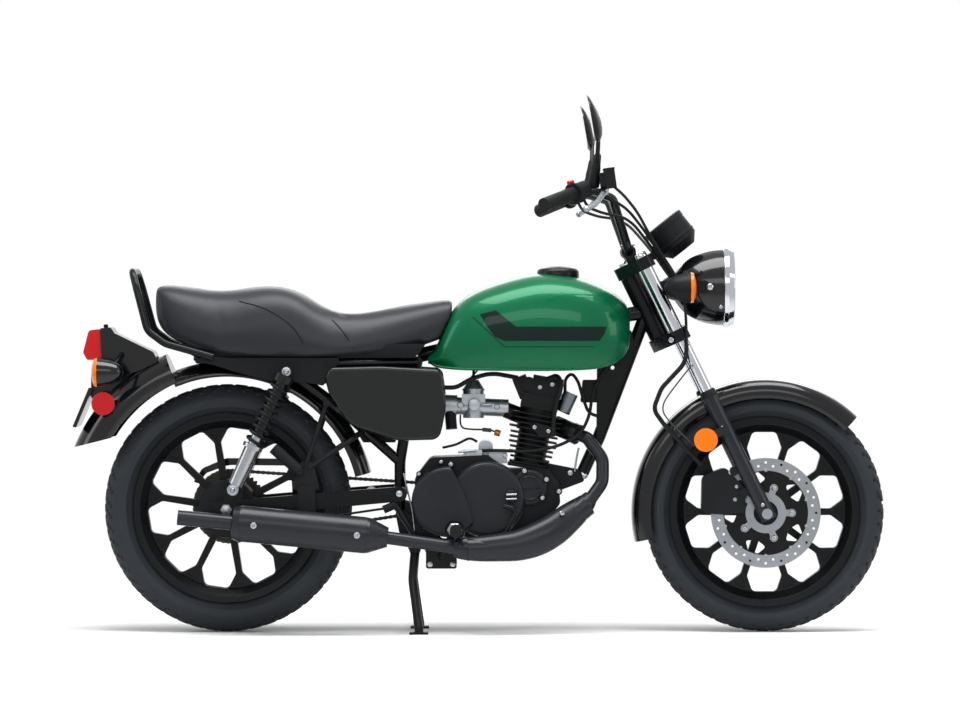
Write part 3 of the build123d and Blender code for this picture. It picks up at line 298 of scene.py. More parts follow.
def aim(point, direction):
    # A place whose Z axis points along the direction. The point is in mm.
    turn = Vector(direction).to_track_quat("Z", "Y").to_matrix().to_4x4()
    return Matrix.Translation(Vector(point) * mm) @ turn


def vertsOf(geometry):
    return [item for item in geometry if isinstance(item, bmesh.types.BMVert)]


def closeRing(bm, ring):
    return [bm.edges.new(pair) for pair in zip(ring, ring[1:] + ring[:1])]


def addPlate(bm, ring, shift):
    # The ring's face and a copy of it moved by the shift, joined round their edges.
    face = bm.faces.new(ring)
    fresh = vertsOf(bmesh.ops.extrude_face_region(bm, geom=[face])["geom"])
    bmesh.ops.translate(bm, verts=fresh, vec=shift)
    return fresh


def addBar(bm, place, shift, size):
    # A box moved by the shift in the place's own directions.
    box = Matrix.Translation(Vector(shift) * mm) @ Matrix.Diagonal((*(Vector(size) * mm), 1))
    bmesh.ops.create_cube(bm, size=1, matrix=place @ box)


def addSpun(bm, profile, place, steps=24):
    # Turns a line of (radius, height) points in mm a full turn about the place's Z axis.
    line = [bm.verts.new((radius * mm, 0, height * mm)) for radius, height in profile]
    edges = [bm.edges.new(pair) for pair in zip(line, line[1:])]
    made = bmesh.ops.spin(
        bm, geom=line + edges, cent=(0, 0, 0), axis=(0, 0, 1), dvec=(0, 0, 0), angle=2 * math.pi, steps=steps,
        use_merge=True, use_duplicate=False,
    )
    found = set(line) | set(vertsOf(made["geom_last"]))
    pool = list(found)
    while pool:
        for edge in pool.pop().link_edges:
            for vertex in edge.verts:
                if vertex not in found:
                    found.add(vertex)
                    pool.append(vertex)
    bmesh.ops.remove_doubles(bm, verts=list(found), dist=mergeDistance)
    bmesh.ops.transform(bm, matrix=place, verts=[vertex for vertex in found if vertex.is_valid])


def addHex(bm, point, direction, radius, height):
    # A hexagon head with a washer under it and a chamfered top.
    place = aim(point, direction)
    washer = [(0, -1), (radius * 1.32, -1), (radius * 1.36, 1.2), (radius * 1.2, 1.6), (0, 1.6)]
    addSpun(bm, washer, place, 18)
    head = bmesh.ops.create_cone(
        bm, cap_ends=True, segments=6, radius1=radius * mm, radius2=radius * mm, depth=height * mm,
        matrix=place @ Matrix.Translation((0, 0, (height / 2 + 1) * mm)),
    )
    toPlace = place.inverted()
    rim = [edge for edge in {edge for vertex in head["verts"] for edge in vertex.link_edges}
           if all((toPlace @ vertex.co).z > height * mm for vertex in edge.verts)]
    bmesh.ops.bevel(
        bm, geom=rim, offset=radius * 0.12 * mm, affect="EDGES", segments=2, profile=0.5, material=-1
    )


def addDome(bm, point, direction, radius, height=None):
    # A button head with a socket in its middle.
    height = height or radius * 0.55
    socket = radius * 0.42
    profile = [
        (0, height * 0.35), (socket, height * 0.35), (socket, height * 0.96), (radius * 0.62, height),
        (radius * 0.88, height * 0.72), (radius, height * 0.3), (radius, -1.5), (0, -1.5),
    ]
    addSpun(bm, profile, aim(point, direction), 20)


def addRod(bm, start, end, radius, steps=16):
    # A straight rod with its ends rounded off.
    length = (Vector(end) - Vector(start)).length
    edge = radius * 0.2
    profile = [
        (0, 0), (radius - edge, 0), (radius, edge), (radius, length - edge), (radius - edge, length), (0, length),
    ]
    addSpun(bm, profile, aim(start, Vector(end) - Vector(start)), steps)


def addSweep(bm, rows, flat, steps):
    # A closed tube of changing width through rows of (x, y, z, radius). flat is its depth across the machine
    # as a share of its height.
    line = throughPoints(rows, 4)
    rings = []
    for number, spot in enumerate(line):
        before, after = line[max(number - 1, 0)].xyz, line[min(number + 1, len(line) - 1)].xyz
        ahead = (after - before).normalized()
        across = Vector((0, 1, 0))
        across = (across - ahead * across.dot(ahead)).normalized()
        out = ahead.cross(across)
        ring = []
        for step in range(steps):
            angle = 2 * math.pi * step / steps
            way = out * math.cos(angle) + across * (flat * math.sin(angle))
            ring.append(bm.verts.new((spot.xyz + way * spot.w) * mm))
        rings.append(closeRing(bm, ring))
    for lower, upper in zip(rings, rings[1:]):
        bmesh.ops.bridge_loops(bm, edges=lower + upper)
    bmesh.ops.holes_fill(bm, edges=rings[0] + rings[-1])


def bothSides(bm):
    # Adds the mirror image across the machine's middle plane.
    copy = bmesh.ops.duplicate(bm, geom=bm.verts[:] + bm.edges[:] + bm.faces[:])["geom"]
    bmesh.ops.scale(bm, vec=(1, -1, 1), verts=vertsOf(copy))


def throughPoints(points, steps, closed=False):
    # A smooth line through its points, as a list of vectors of as many numbers as a point has.
    spots = [Vector(point) for point in points]
    count = len(spots)
    line = []
    for number in range(count if closed else count - 1):
        if closed:
            a, b, c, d = (spots[(number + shift) % count] for shift in (-1, 0, 1, 2))
        else:
            b, c = spots[number], spots[number + 1]
            a = spots[number - 1] if number else b * 2 - c
            d = spots[number + 2] if number + 2 < count else c * 2 - b
        slope, bend, twist = (c - a) / 2, (a * 2 - b * 5 + c * 4 - d) / 2, (b * 3 - a - c * 3 + d) / 2
        for step in range(steps):
            t = step / steps
            line.append(b + slope * t + bend * t**2 + twist * t**3)
    if not closed:
        line.append(spots[-1])
    return line


def addLine(name, points, radius, look, body):
    # A wire, hose or bead along a smooth line, made a mesh.
    curve = bpy.data.curves.new(name, "CURVE")
    curve.dimensions = "3D"
    curve.bevel_depth = radius * mm
    curve.bevel_resolution = 3
    curve.use_fill_caps = True
    spline = curve.splines.new("NURBS")
    spline.points.add(len(points) - 1)
    for spot, point in zip(spline.points, points):
        spot.co = (*(Vector(point) * mm), 1)
    spline.order_u = 3
    spline.use_endpoint_u = True
    spline.resolution_u = 6
    holder = bpy.data.objects.new(name, curve)
    mesh = bpy.data.meshes.new_from_object(holder)
    bm = bmesh.new()
    bm.from_mesh(mesh)
    bpy.data.objects.remove(holder)
    bpy.data.meshes.remove(mesh)
    newPiece(name, bm, look, body, 60)


def buildParts(parts):
    # Small parts from a table. A part is a line along its way, or turned shapes and rods in one mesh.
    for name, part in parts.items():
        body = part.get("body", "chassis")
        if "way" in part:
            addLine(name, part["way"], part["radius"], part["look"], body)
            continue
        bm = bmesh.new()
        for profile, point, way, steps in part.get("turned", ()):
            addSpun(bm, profile, aim(point, way), steps)
        for rod in part.get("rods", ()):
            addRod(bm, *rod)
        if part.get("bothSides"):
            bothSides(bm)
        newPiece(name, bm, part["look"], body, part["smooth"], part.get("stands", ()))


# Special finishes
def waveScale(spacing):
    # A wave texture's scale for bands this many mm apart
    return math.pi / 10 / (spacing * mm)


def ringMaterial(name, base, axle, spacing, depth):
    # Rings round an axle. They are coarser than the real ones, which are under 1 mm and would not show.
    material, tree, surface, place = makeMaterial(name, looks[base])
    x, z = axle
    centred = addNode(tree, "ShaderNodeMapping", {"Location": (-x * mm, 0, -z * mm)}, {"Vector": place})
    middle = centred.outputs["Vector"]
    rings = addNode(
        tree,
        "ShaderNodeTexWave",
        {"wave_type": "RINGS", "rings_direction": "Y", "Scale": waveScale(spacing), "Distortion": 0.6,
         "Detail": 2.0},
        {"Vector": middle},
    )
    bump = addNode(
        tree, "ShaderNodeBump", {"Strength": 0.35, "Distance": depth * mm}, {"Height": rings.outputs["Fac"]}
    )
    tree.links.new(surface.inputs["Normal"], bump.outputs["Normal"])
    return material, tree, surface, middle


discSettings = {
    "ringSpacing": 1.6, "ringDepth": 0.1, "band": "85888d", "carrier": "090a0b",
    "carrierRadius": 104.5, "carrierFace": -66.8,
}


def discMaterial():
    # Ground steel band and sensor ring round a black carrier. The carrier is what lies inside its radius and
    # deeper than its face.
    material, tree, surface, middle = ringMaterial(
        "groundDisc", "turnedSteel", frontAxle, discSettings["ringSpacing"], discSettings["ringDepth"]
    )
    flat = addNode(tree, "ShaderNodeVectorMath", {"operation": "MULTIPLY", 1: (1, 0, 1)}, {0: middle})
    radius = addNode(tree, "ShaderNodeVectorMath", {"operation": "LENGTH"}, {0: flat.outputs[0]})
    across = addNode(tree, "ShaderNodeSeparateXYZ", {}, {0: middle})
    inside = addNode(
        tree,
        "ShaderNodeMath",
        {"operation": "LESS_THAN", 1: discSettings["carrierRadius"] * mm},
        {0: radius.outputs["Value"]},
    )
    deep = addNode(
        tree,
        "ShaderNodeMath",
        {"operation": "GREATER_THAN", 1: discSettings["carrierFace"] * mm},
        {0: across.outputs["Y"]},
    )
    carrier = addNode(
        tree, "ShaderNodeMath", {"operation": "MULTIPLY"}, {0: inside.outputs[0], 1: deep.outputs[0]}
    )
    blend = addNode(
        tree,
        "ShaderNodeMix",
        {"data_type": "RGBA", 6: linear(discSettings["band"]), 7: linear(discSettings["carrier"])},
        {0: carrier.outputs[0]},
    )
    tree.links.new(surface.inputs["Base Color"], blend.outputs[2])
    metal = addNode(tree, "ShaderNodeMath", {"operation": "SUBTRACT", 0: 1.0}, {1: carrier.outputs[0]})
    tree.links.new(surface.inputs["Metallic"], metal.outputs[0])
    return material


def insideMask(tree, place, planes):
    # 1 where a point of the side view is inside every half plane (x, z, limit): x*X + z*Z < limit.
    mask = None
    for x, z, limit in planes:
        reach = addNode(tree, "ShaderNodeVectorMath", {"operation": "DOT_PRODUCT", 1: (x, 0, z)}, {0: place})
        side = addNode(
            tree, "ShaderNodeMath", {"operation": "LESS_THAN", 1: limit * mm}, {0: reach.outputs["Value"]}
        )
        if mask is None:
            mask = side.outputs[0]
        else:
            both = addNode(tree, "ShaderNodeMath", {"operation": "MULTIPLY"}, {0: mask, 1: side.outputs[0]})
            mask = both.outputs[0]
    return mask


def planesOf(corners):
    # Half planes of a convex outline whose corners run clockwise in the side view.
    planes = []
    for (x0, z0), (x1, z1) in zip(corners, corners[1:] + corners[:1]):
        length = math.hypot(x1 - x0, z1 - z0)
        x = -(z1 - z0) / length
        z = (x1 - x0) / length
        planes.append((x, z, x * x0 + z * z0))
    return planes


tankSettings = {
    "flake": 1.11,  # a real flake is under 0.1 mm, and would not show
    "flakeColours": ("024329", "05633f"),
    "graphics": [
        # The dark band and its rear end, then the thin stripe and its rear end
        ("061a15", [(61, 719.5), (90, 755), (313, 755), (307, 737), (295, 719.5)]),
        ("061a15", [(1, 785), (41, 794.5), (90, 755), (61, 719.5), (38, 730), (20, 754)]),
        ("08281d", [(62, 704.2), (62, 706.6), (281, 706.6), (281, 704.2)]),
        ("08281d", [(-17, 777), (-14, 778.5), (63, 706.4), (61, 704.4)]),
    ],
}


def tankMaterial():
    # Metallic green under clear lacquer, with a dark band and a thin stripe below it.
    material, tree, surface, place = makeMaterial("tankLacquer", looks["metallicLacquer"])
    dark, light = tankSettings["flakeColours"]
    flake = tankSettings["flake"] * mm
    flakes = addNode(tree, "ShaderNodeTexNoise", {"Scale": 1 / flake, "Detail": 2.0}, {"Vector": place})
    coat = addNode(
        tree,
        "ShaderNodeMix",
        {"data_type": "RGBA", 6: linear(dark), 7: linear(light)},
        {0: flakes.outputs["Fac"]},
    ).outputs[2]
    for colour, outline in tankSettings["graphics"]:
        mask = insideMask(tree, place, planesOf(outline))
        coat = addNode(
            tree, "ShaderNodeMix", {"data_type": "RGBA", 7: linear(colour)}, {0: mask, 6: coat}
        ).outputs[2]
    tree.links.new(surface.inputs["Base Color"], coat)
    return material


def ribbedMaterial(name, direction, spacing, depth):
    # Rubber with ribs round an axis, at their real size. Both sides of the machine use the same ribs.
    material, tree, surface, place = makeMaterial(name, looks["mouldedRubber"])
    folded = addNode(tree, "ShaderNodeVectorMath", {"operation": "ABSOLUTE"}, {0: place})
    along = addNode(
        tree, "ShaderNodeVectorMath", {"operation": "DOT_PRODUCT", 1: direction}, {0: folded.outputs[0]}
    )
    wave = addNode(
        tree,
        "ShaderNodeMath",
        {"operation": "MULTIPLY", 1: 2 * math.pi / (spacing * mm)},
        {0: along.outputs["Value"]},
    )
    height = addNode(tree, "ShaderNodeMath", {"operation": "SINE"}, {0: wave.outputs[0]})
    bump = addNode(
        tree, "ShaderNodeBump", {"Strength": 0.9, "Distance": depth * mm}, {"Height": height.outputs[0]}
    )
    tree.links.new(surface.inputs["Normal"], bump.outputs["Normal"])
    return material


shockSettings = {
    "line": (131, 0, 289), "parting": (-540, 0, 492), "silver": "8e9196", "black": "0b0c0e",
    "metallic": 0.9, "specular": 0.2,
}


def shockMaterial():
    # Painted black above, bare silver damper below, parted square to the shock's own line.
    base = {**looks["anodisedAluminium"], "specular": shockSettings["specular"]}
    material, tree, surface, place = makeMaterial("shockFinish", base)
    along = Vector(shockSettings["line"]).normalized()
    limit = along.dot(Vector(shockSettings["parting"]))
    mask = insideMask(tree, place, [(-along.x, -along.z, -limit)])
    blend = addNode(
        tree,
        "ShaderNodeMix",
        {"data_type": "RGBA", 6: linear(shockSettings["silver"]), 7: linear(shockSettings["black"])},
        {0: mask},
    )
    tree.links.new(surface.inputs["Base Color"], blend.outputs[2])
    metal = addNode(tree, "ShaderNodeMath", {"operation": "SUBTRACT", 0: shockSettings["metallic"]}, {1: mask})
    metal.use_clamp = True
    tree.links.new(surface.inputs["Metallic"], metal.outputs[0])
    return material


headSettings = {
    "lean": 10, "foot": (121, 0, 404), "capsAhead": 46.5, "capsAbove": 152.5,
    "black": "0b0c0e", "bare": "6a6e74",
}


def headMaterial():
    # Black painted fins with two bare round caps at the front of the rocker box. The caps are what lies ahead
    # of and above their limits, measured from the cylinder's foot in its own leaning directions.
    material, tree, surface, place = makeMaterial("headCasting", looks["paintedCasting"])
    lean = math.radians(headSettings["lean"])
    foot = Vector(headSettings["foot"])
    ahead = Vector((math.cos(lean), 0, -math.sin(lean)))
    above = Vector((math.sin(lean), 0, math.cos(lean)))
    planes = []
    for way, limit in ((ahead, headSettings["capsAhead"]), (above, headSettings["capsAbove"])):
        planes.append((-way.x, -way.z, -(way.dot(foot) + limit)))
    mask = insideMask(tree, place, planes)
    bare = addNode(
        tree,
        "ShaderNodeMix",
        {"data_type": "RGBA", 6: linear(headSettings["black"]), 7: linear(headSettings["bare"])},
        {0: mask},
    )
    tree.links.new(surface.inputs["Base Color"], bare.outputs[2])
    tree.links.new(surface.inputs["Metallic"], mask)
    return material


gripWay = (-0.599, 0.763, -0.241)  # along the left grip
finishes = {
    "brake_disc": discMaterial(),
    "tank": tankMaterial(),
    "cylinder_head": headMaterial(),
    "shock_bodies": shockMaterial(),
    "shock_springs": materials["grainedPolypropylene"],
    "fork_sliders": materials["heatProofPaint"],
    "rear_sprocket": materials["oiledSteel"],
    "grips": ribbedMaterial("ribbedGrip", gripWay, 7.0, 1.6),
    "footpeg_rubbers": ribbedMaterial("ribbedPeg", left, 6.0, 1.6),
}
for name, material in finishes.items():
    paint(nodes[name], material)
print("stage: special finishes")


# Tyres
tyreSettings = {
    "front": {"axle": frontAxle, "radius": 296, "half": 42, "bead": 20.7},
    "rear": {"axle": rearAxle, "radius": 306, "half": 51.5, "bead": 26.7},
    "neck": 237.5,  # radius at which the wall leaves the rim
    "pitches": 52,  # blocks round the tread
    "groove": 5.0,
    "shoulder": 0.46,  # the tread's depth from the crown, as a share of half the width, as the next three are
    "crossGroove": (0.16, 0.93),
    "centreGroove": (0.02, 0.1),
    "slant": 0.16,  # steps that a cross groove turns in 1 mm of width
    "sideRing": (5.5, 0.5),  # spacing and depth of the lines on the wall
}


def mirrored(profile):
    return profile + [(-y, radius) for y, radius in reversed(profile[:-1])]


def buildTyre(end, settings):
    # A hollow casing with moulded lines on its sides and slanted grooves cut into the tread.
    radius, half, bead = settings["radius"], settings["half"], settings["bead"]
    neck = tyreSettings["neck"]
    middle = (radius + neck) / 2
    outer = mirrored([
        (-bead, neck - 14), (-bead, neck), (-half + 5, neck + 11), (-half + 1.2, neck + 17), (-half, middle),
        (-half * 0.62, radius - 9), (0, radius),
    ])
    inner = mirrored([
        (bead - 6, neck - 14), (bead - 6, neck), (half - 14, middle - 4), (half * 0.5, radius - 19),
        (0, radius - 11),
    ])
    steps = tyreSettings["pitches"] * 4
    bm = bmesh.new()
    verts = [bm.verts.new((0, y * mm, r * mm)) for y, r in throughPoints(outer, 4) + throughPoints(inner, 3)]
    bmesh.ops.spin(
        bm, geom=verts + closeRing(bm, verts), cent=(0, 0, 0), axis=left, dvec=(0, 0, 0), angle=2 * math.pi,
        steps=steps, use_merge=True, use_duplicate=False,
    )
    bmesh.ops.recalc_face_normals(bm, faces=bm.faces)
    crossLow, crossHigh = tyreSettings["crossGroove"]
    centreLow, centreHigh = tyreSettings["centreGroove"]
    cut = []
    for face in bm.faces:
        spot = face.calc_center_median()
        reach = math.hypot(spot.x, spot.z) / mm
        share = abs(spot.y) / (half * mm)
        facesOut = face.normal.dot(Vector((spot.x, 0, spot.z)).normalized()) >= 0.1
        if reach < radius - half * tyreSettings["shoulder"] or not facesOut:
            continue
        turn = math.atan2(spot.z, spot.x) / (2 * math.pi) * steps
        block = int(turn + (spot.y / mm) * tyreSettings["slant"])
        if (crossLow < share < crossHigh and block % 4 == 0) or centreLow < share < centreHigh:
            cut.append(face)
    fresh = vertsOf(bmesh.ops.extrude_face_region(bm, geom=cut)["geom"])
    bmesh.ops.delete(bm, geom=cut, context="FACES")
    for vertex in fresh:
        reach = math.hypot(vertex.co.x, vertex.co.z)
        share = (reach - tyreSettings["groove"] * mm) / reach
        vertex.co.x *= share
        vertex.co.z *= share
    x, z = settings["axle"]
    bmesh.ops.translate(bm, verts=bm.verts, vec=(x * mm, 0, z * mm))
    name = end + "TyreTread"
    piece = newPiece(name, bm, "tyreRubber", end + "_wheel", 40, (end + "_tyre",))
    paint(piece, ringMaterial(name + "Rubber", "tyreRubber", settings["axle"], *tyreSettings["sideRing"])[0])


for end in ("front", "rear"):
    buildTyre(end, tyreSettings[end])
print("stage: tyres")


# Seat
seatSettings = {
    "underside": 678.5,
    "voxel": 6.0,
    "shrink": 1.75,
    "heldBelow": 700,
    "pressure": 4.0,
    "frames": 20,
    "cap": 14.0,  # the most that the cloth may move a point
    "swell": 0.5,  # share of that move that is kept
    "fill": 0.7,
    "seams": [
        [(-589, 817), (-520, 797), (-460, 757), (-430, 714)],
        [(-361, 771), (-338, 747), (-318, 720)],
    ],
    "seamRadius": 1.6,
    "piping": [
        (-785, 770), (-756, 724), (-700, 706), (-600, 690), (-470, 684), (-330, 686), (-240, 690), (-155, 704),
    ],
    "pipingRadius": 2.6,
    "base": [(-748, 712), (-706, 684), (-690, 677), (-160, 677), (-146, 690), (-132, 712)],
    "baseHalf": 97,
    "baseEdge": 1.5,
}


def smoothOut(bm):
    bmesh.ops.smooth_vert(bm, verts=bm.verts, factor=0.5, use_axis_x=True, use_axis_y=True, use_axis_z=True)


def buildSeat():
    # The stuffed bench: the plain solid cut level below, remeshed, blown up a little as cloth, then smoothed.
    mesh = nodes["seat"].data.copy()
    bm = bmesh.new()
    bm.from_mesh(mesh)
    bmesh.ops.remove_doubles(bm, verts=bm.verts, dist=0.05 * mm)
    level = bmesh.ops.bisect_plane(
        bm, geom=bm.verts[:] + bm.edges[:] + bm.faces[:], plane_co=(0, 0, seatSettings["underside"] * mm),
        plane_no=(0, 0, -1), clear_outer=True,
    )
    rim = [item for item in level["geom_cut"] if isinstance(item, bmesh.types.BMEdge)]
    bmesh.ops.holes_fill(bm, edges=rim)
    bmesh.ops.recalc_face_normals(bm, faces=bm.faces)
    bm.to_mesh(mesh)
    bm.free()
    pad = bpy.data.objects.new("seatCushion", mesh)
    bpy.context.collection.objects.link(pad)
    remesh = pad.modifiers.new("voxels", "REMESH")
    remesh.mode = "VOXEL"
    remesh.voxel_size = seatSettings["voxel"] * mm
    graph = bpy.context.evaluated_depsgraph_get()
    shaped = bpy.data.meshes.new_from_object(pad.evaluated_get(graph))
    pad.modifiers.clear()
    pad.data = shaped
    bm = bmesh.new()
    bm.from_mesh(shaped)
    for step in range(2):
        smoothOut(bm)
    bm.normal_update()
    for vertex in bm.verts:
        vertex.co -= vertex.normal * seatSettings["shrink"] * mm
    bm.to_mesh(shaped)
    bm.free()
    blowUp(pad, shaped)
    bm = bmesh.new()
    bm.from_mesh(shaped)
    smoothOut(bm)
    bpy.data.objects.remove(pad)
    piece = newPiece("seatCushion", bm, "embossedVinyl", "chassis", 60, ("seat",))
    return piece


def blowUp(pad, shaped):
    # The part of the cushion on its board is held, the rest swells.
    start = [vertex.co.copy() for vertex in shaped.vertices]
    held = pad.vertex_groups.new(name="board")
    low = seatSettings["heldBelow"] * mm
    held.add([vertex.index for vertex in shaped.vertices if vertex.co.z < low], 1.0, "REPLACE")
    cloth = pad.modifiers.new("stuffing", "CLOTH")
    cloth.settings.use_pressure = True
    cloth.settings.uniform_pressure_force = seatSettings["pressure"]
    cloth.settings.effector_weights.gravity = 0
    cloth.settings.vertex_group_mass = "board"
    cloth.settings.quality = 5
    for number in range(1, seatSettings["frames"] + 1):
        bpy.context.scene.frame_set(number)
    graph = bpy.context.evaluated_depsgraph_get()
    blown = bpy.data.meshes.new_from_object(pad.evaluated_get(graph))
    limit = seatSettings["cap"] * mm
    for vertex, before in zip(shaped.vertices, start):
        shift = blown.vertices[vertex.index].co - before
        if shift.length > limit:
            shift = shift.normalized() * limit
        vertex.co = before + shift * seatSettings["swell"]
    pad.modifiers.clear()
    pad.vertex_groups.clear()
    bpy.data.meshes.remove(blown)
    bpy.context.scene.frame_set(1)


def alongSurface(tree, points, steps, side, stand):
    # A smooth line drawn in the side view, laid on a piece's side and lifted by stand.
    spots = []
    for x, z in throughPoints(points, steps):
        hit = tree.ray_cast(Vector((x * mm, side * 0.5, z * mm)), Vector((0, -side, 0)))[0]
        if hit is not None:
            spots.append((hit.x / mm, hit.y / mm + side * stand, hit.z / mm))
    return spots


def sewSeams(cushion):
    # Two seams and the lower piping on each side.
    tree = BVHTree.FromObject(cushion, bpy.context.evaluated_depsgraph_get())
    look = "grainedPolypropylene"
    for side, word in sides:
        for number, seam in enumerate(seatSettings["seams"]):
            spots = alongSurface(tree, seam, 5, side, 0.2)
            addLine(f"seatSeam{word}{number}", spots, seatSettings["seamRadius"], look, "chassis")
        spots = alongSurface(tree, seatSettings["piping"], 4, side, 0.4)
        addLine("seatPiping" + word, spots, seatSettings["pipingRadius"], look, "chassis")


def buildSeatBase():
    # The black base that the cushion is stretched over.
    bm = bmesh.new()
    half = seatSettings["baseHalf"]
    ring = [bm.verts.new((x * mm, -half * mm, z * mm)) for x, z in seatSettings["base"]]
    addPlate(bm, ring, (0, 2 * half * mm, 0))
    bmesh.ops.bevel(
        bm, geom=bm.edges[:], offset=seatSettings["baseEdge"] * mm, affect="EDGES", segments=2, profile=0.5,
        material=-1, clamp_overlap=True,
    )
    newPiece("seatBase", bm, "grainedPolypropylene", "chassis", 40)


cushion = buildSeat()
buildSeatBase()
bpy.context.view_layer.update()
sewSeams(cushion)
print("stage: seat")


# Drive chain
chainSettings = {
    "pitch": 12.7, "side": 67, "frontTeeth": 15, "rearTeeth": 44, "front": (-96, 330), "rear": rearAxle,
    "plate": 1.6, "plateEnd": 4.6, "plateWaist": 3.3, "innerPlate": 4.4, "outerPlate": 6.2,
    "pin": {"radius": 2, "length": 15.6, "segments": 8},
    "roller": {"radius": 4, "length": 6.4, "segments": 10},
}


def chainSpots():
    # The pins' places along the loop, evenly spaced, as (x, z).
    pitch = chainSettings["pitch"]
    front, rear = Vector(chainSettings["front"]), Vector(chainSettings["rear"])
    small = pitch / 2 / math.sin(math.pi / chainSettings["frontTeeth"])
    large = pitch / 2 / math.sin(math.pi / chainSettings["rearTeeth"])
    apart = (front - rear).length
    tilt = math.atan2(front.y - rear.y, front.x - rear.x)
    spread = math.acos((large - small) / apart)
    above, below = tilt + spread, tilt - spread

    def onSprocket(centre, radius, angle):
        return centre + Vector((math.cos(angle), math.sin(angle))) * radius

    straight = math.sqrt(apart**2 - (large - small) ** 2)
    nose, heel = 2 * spread * small, 2 * (math.pi - spread) * large
    total = 2 * straight + nose + heel
    count = 2 * round(total / pitch / 2)
    spots = []
    for number in range(count):
        way = total * number / count
        if way < straight:
            start, end = onSprocket(rear, large, above), onSprocket(front, small, above)
            spots.append(start.lerp(end, way / straight))
        elif way < straight + nose:
            spots.append(onSprocket(front, small, above - (way - straight) / small))
        elif way < 2 * straight + nose:
            start, end = onSprocket(front, small, below), onSprocket(rear, large, below)
            spots.append(start.lerp(end, (way - straight - nose) / straight))
        else:
            spots.append(onSprocket(rear, large, below - (way - 2 * straight - nose) / large))
    return spots


def buildChain():
    # Rollers and pins, with inner and outer plates in turn.
    spots = chainSpots()
    side, plate = chainSettings["side"], chainSettings["plate"]
    endRadius = chainSettings["plateEnd"]
    bm = bmesh.new()
    for number, (x, z) in enumerate(spots):
        nextX, nextZ = spots[(number + 1) % len(spots)]
        turn = math.atan2(nextZ - z, nextX - x)
        half = math.hypot(nextX - x, nextZ - z) / 2
        outline = []
        for end in (1, -1):
            for step in range(-2, 3):
                angle = step * math.radians(38) + (0 if end > 0 else math.pi)
                outline.append((end * half + endRadius * math.cos(angle), endRadius * math.sin(angle)))
            outline.append((0, end * chainSettings["plateWaist"]))
        out = chainSettings["outerPlate" if number % 2 else "innerPlate"]
        for depth in (side - out, side + out):
            middle = Vector(((x + nextX) / 2, depth, (z + nextZ) / 2)) * mm
            place = Matrix.Translation(middle) @ Matrix.Rotation(-turn, 4, "Y")
            ring = [bm.verts.new(place @ (Vector((px, -plate / 2, pz)) * mm)) for px, pz in outline]
            addPlate(bm, ring, (0, plate * mm, 0))
        for part in (chainSettings["pin"], chainSettings["roller"]):
            bmesh.ops.create_cone(
                bm, cap_ends=True, segments=part["segments"], radius1=part["radius"] * mm,
                radius2=part["radius"] * mm, depth=part["length"] * mm, matrix=aim((x, side, z), left),
            )
    newPiece("rollerChain", bm, "oiledSteel", "chassis", 30, ("drive_chain",))


buildChain()
print("stage: chain")


# Fasteners
# Each row: the sides it is on, kind, x, distance from the middle plane, z, radius, a boss's height, and where
# it doesn't face straight out, its facing with the middle number outward.
bolts = {
    "engineCoverScrews": ("chassis", [
        ("R", "boss", 111, 62, 400, 6, 30), ("R", "boss", 92, 62, 376, 6, 30),
        ("R", "boss", 165, 62, 379, 6, 30), ("R", "boss", 155, 62, 334, 6, 30),
        ("R", "boss", 196, 62, 349, 6, 16), ("R", "boss", -70, 62, 416, 6, 22),
        ("R", "boss", -94, 62, 422, 5, 14), ("R", "boss", -148, 62, 392, 5, 16),
        ("R", "boss", -134, 62, 262, 5, 30), ("R", "boss", 68, 62, 250, 5, 18),
        ("L", "boss", 120, 62, 386, 6, 26), ("L", "boss", 124, 62, 300, 6, 22),
        ("L", "boss", -20, 62, 404, 6, 20), ("L", "boss", 60, 62, 246, 6, 20),
        ("L", "boss", -144, 62, 372, 5, 18), ("L", "boss", -130, 62, 276, 5, 18),
    ]),
    "headBolts": ("chassis", [
        ("R", "dome", 136, 74, 507, 5.5), ("R", "hex", 170, 74, 497, 4.5), ("RL", "hex", 180, 48, 612, 5),
        ("RL", "hex", 150, 48, 605, 5), ("R", "hex", 64, 50, 436, 6), ("R", "hex", -28, 56.5, 438, 5),
    ]),
    "chassisBolts": ("chassis", [
        ("RL", "hex", -196, 108, 345, 7), ("RL", "dome", -424, 118, 354, 6), ("R", "hex", -189, 71, 284, 5),
        ("RL", "hex", -121, 76, 170, 6), ("RL", "hex", -65, 76, 170, 6), ("RL", "acorn", -471, 152, 645, 8),
        ("RL", "acorn", -602, 151, 356, 8), ("R", "hex", 262, 12, 384, 6), ("R", "hex", 225, 12, 392, 6),
        ("RL", "dome", -661, 110, 682, 5), ("L", "dome", -454, 78.5, 400, 5),
        ("L", "dome", -660, 78.5, 404, 5), ("RL", "hex", 339, 17, 700, 6),
    ]),
    "silencerBolts": ("chassis", [
        ("R", "dome", -548, 208.2, 272.4, 8.5), ("R", "dome", -297, 208.2, 248.7, 8.5),
        ("R", "dome", 202, 152, 299, 6.5, 0, (0.2, 1, 0.45)),
    ]),
    "forkBolts": ("steering", [
        ("RL", "dome", 470, 119, 722, 7), ("RL", "dome", 566, 104, 852, 9),
        ("RL", "dome", 594, 82, 803, 6, 0, (0, 0.84, -0.54)), ("R", "hex", 618, 92, 398, 6),
        ("R", "dome", 632, 92, 362, 5), ("R", "dome", 628, 92, 330, 5), ("RL", "hex", 555, 109.9, 497, 5),
        ("RL", "hex", 596, 109.9, 508, 5), ("RL", "dome", 380, 44, 955, 4.5, 0, (0.1, 0, 1)),
        ("RL", "dome", 356, 44, 955, 4.5, 0, (-0.1, 0, 1)),
    ]),
}


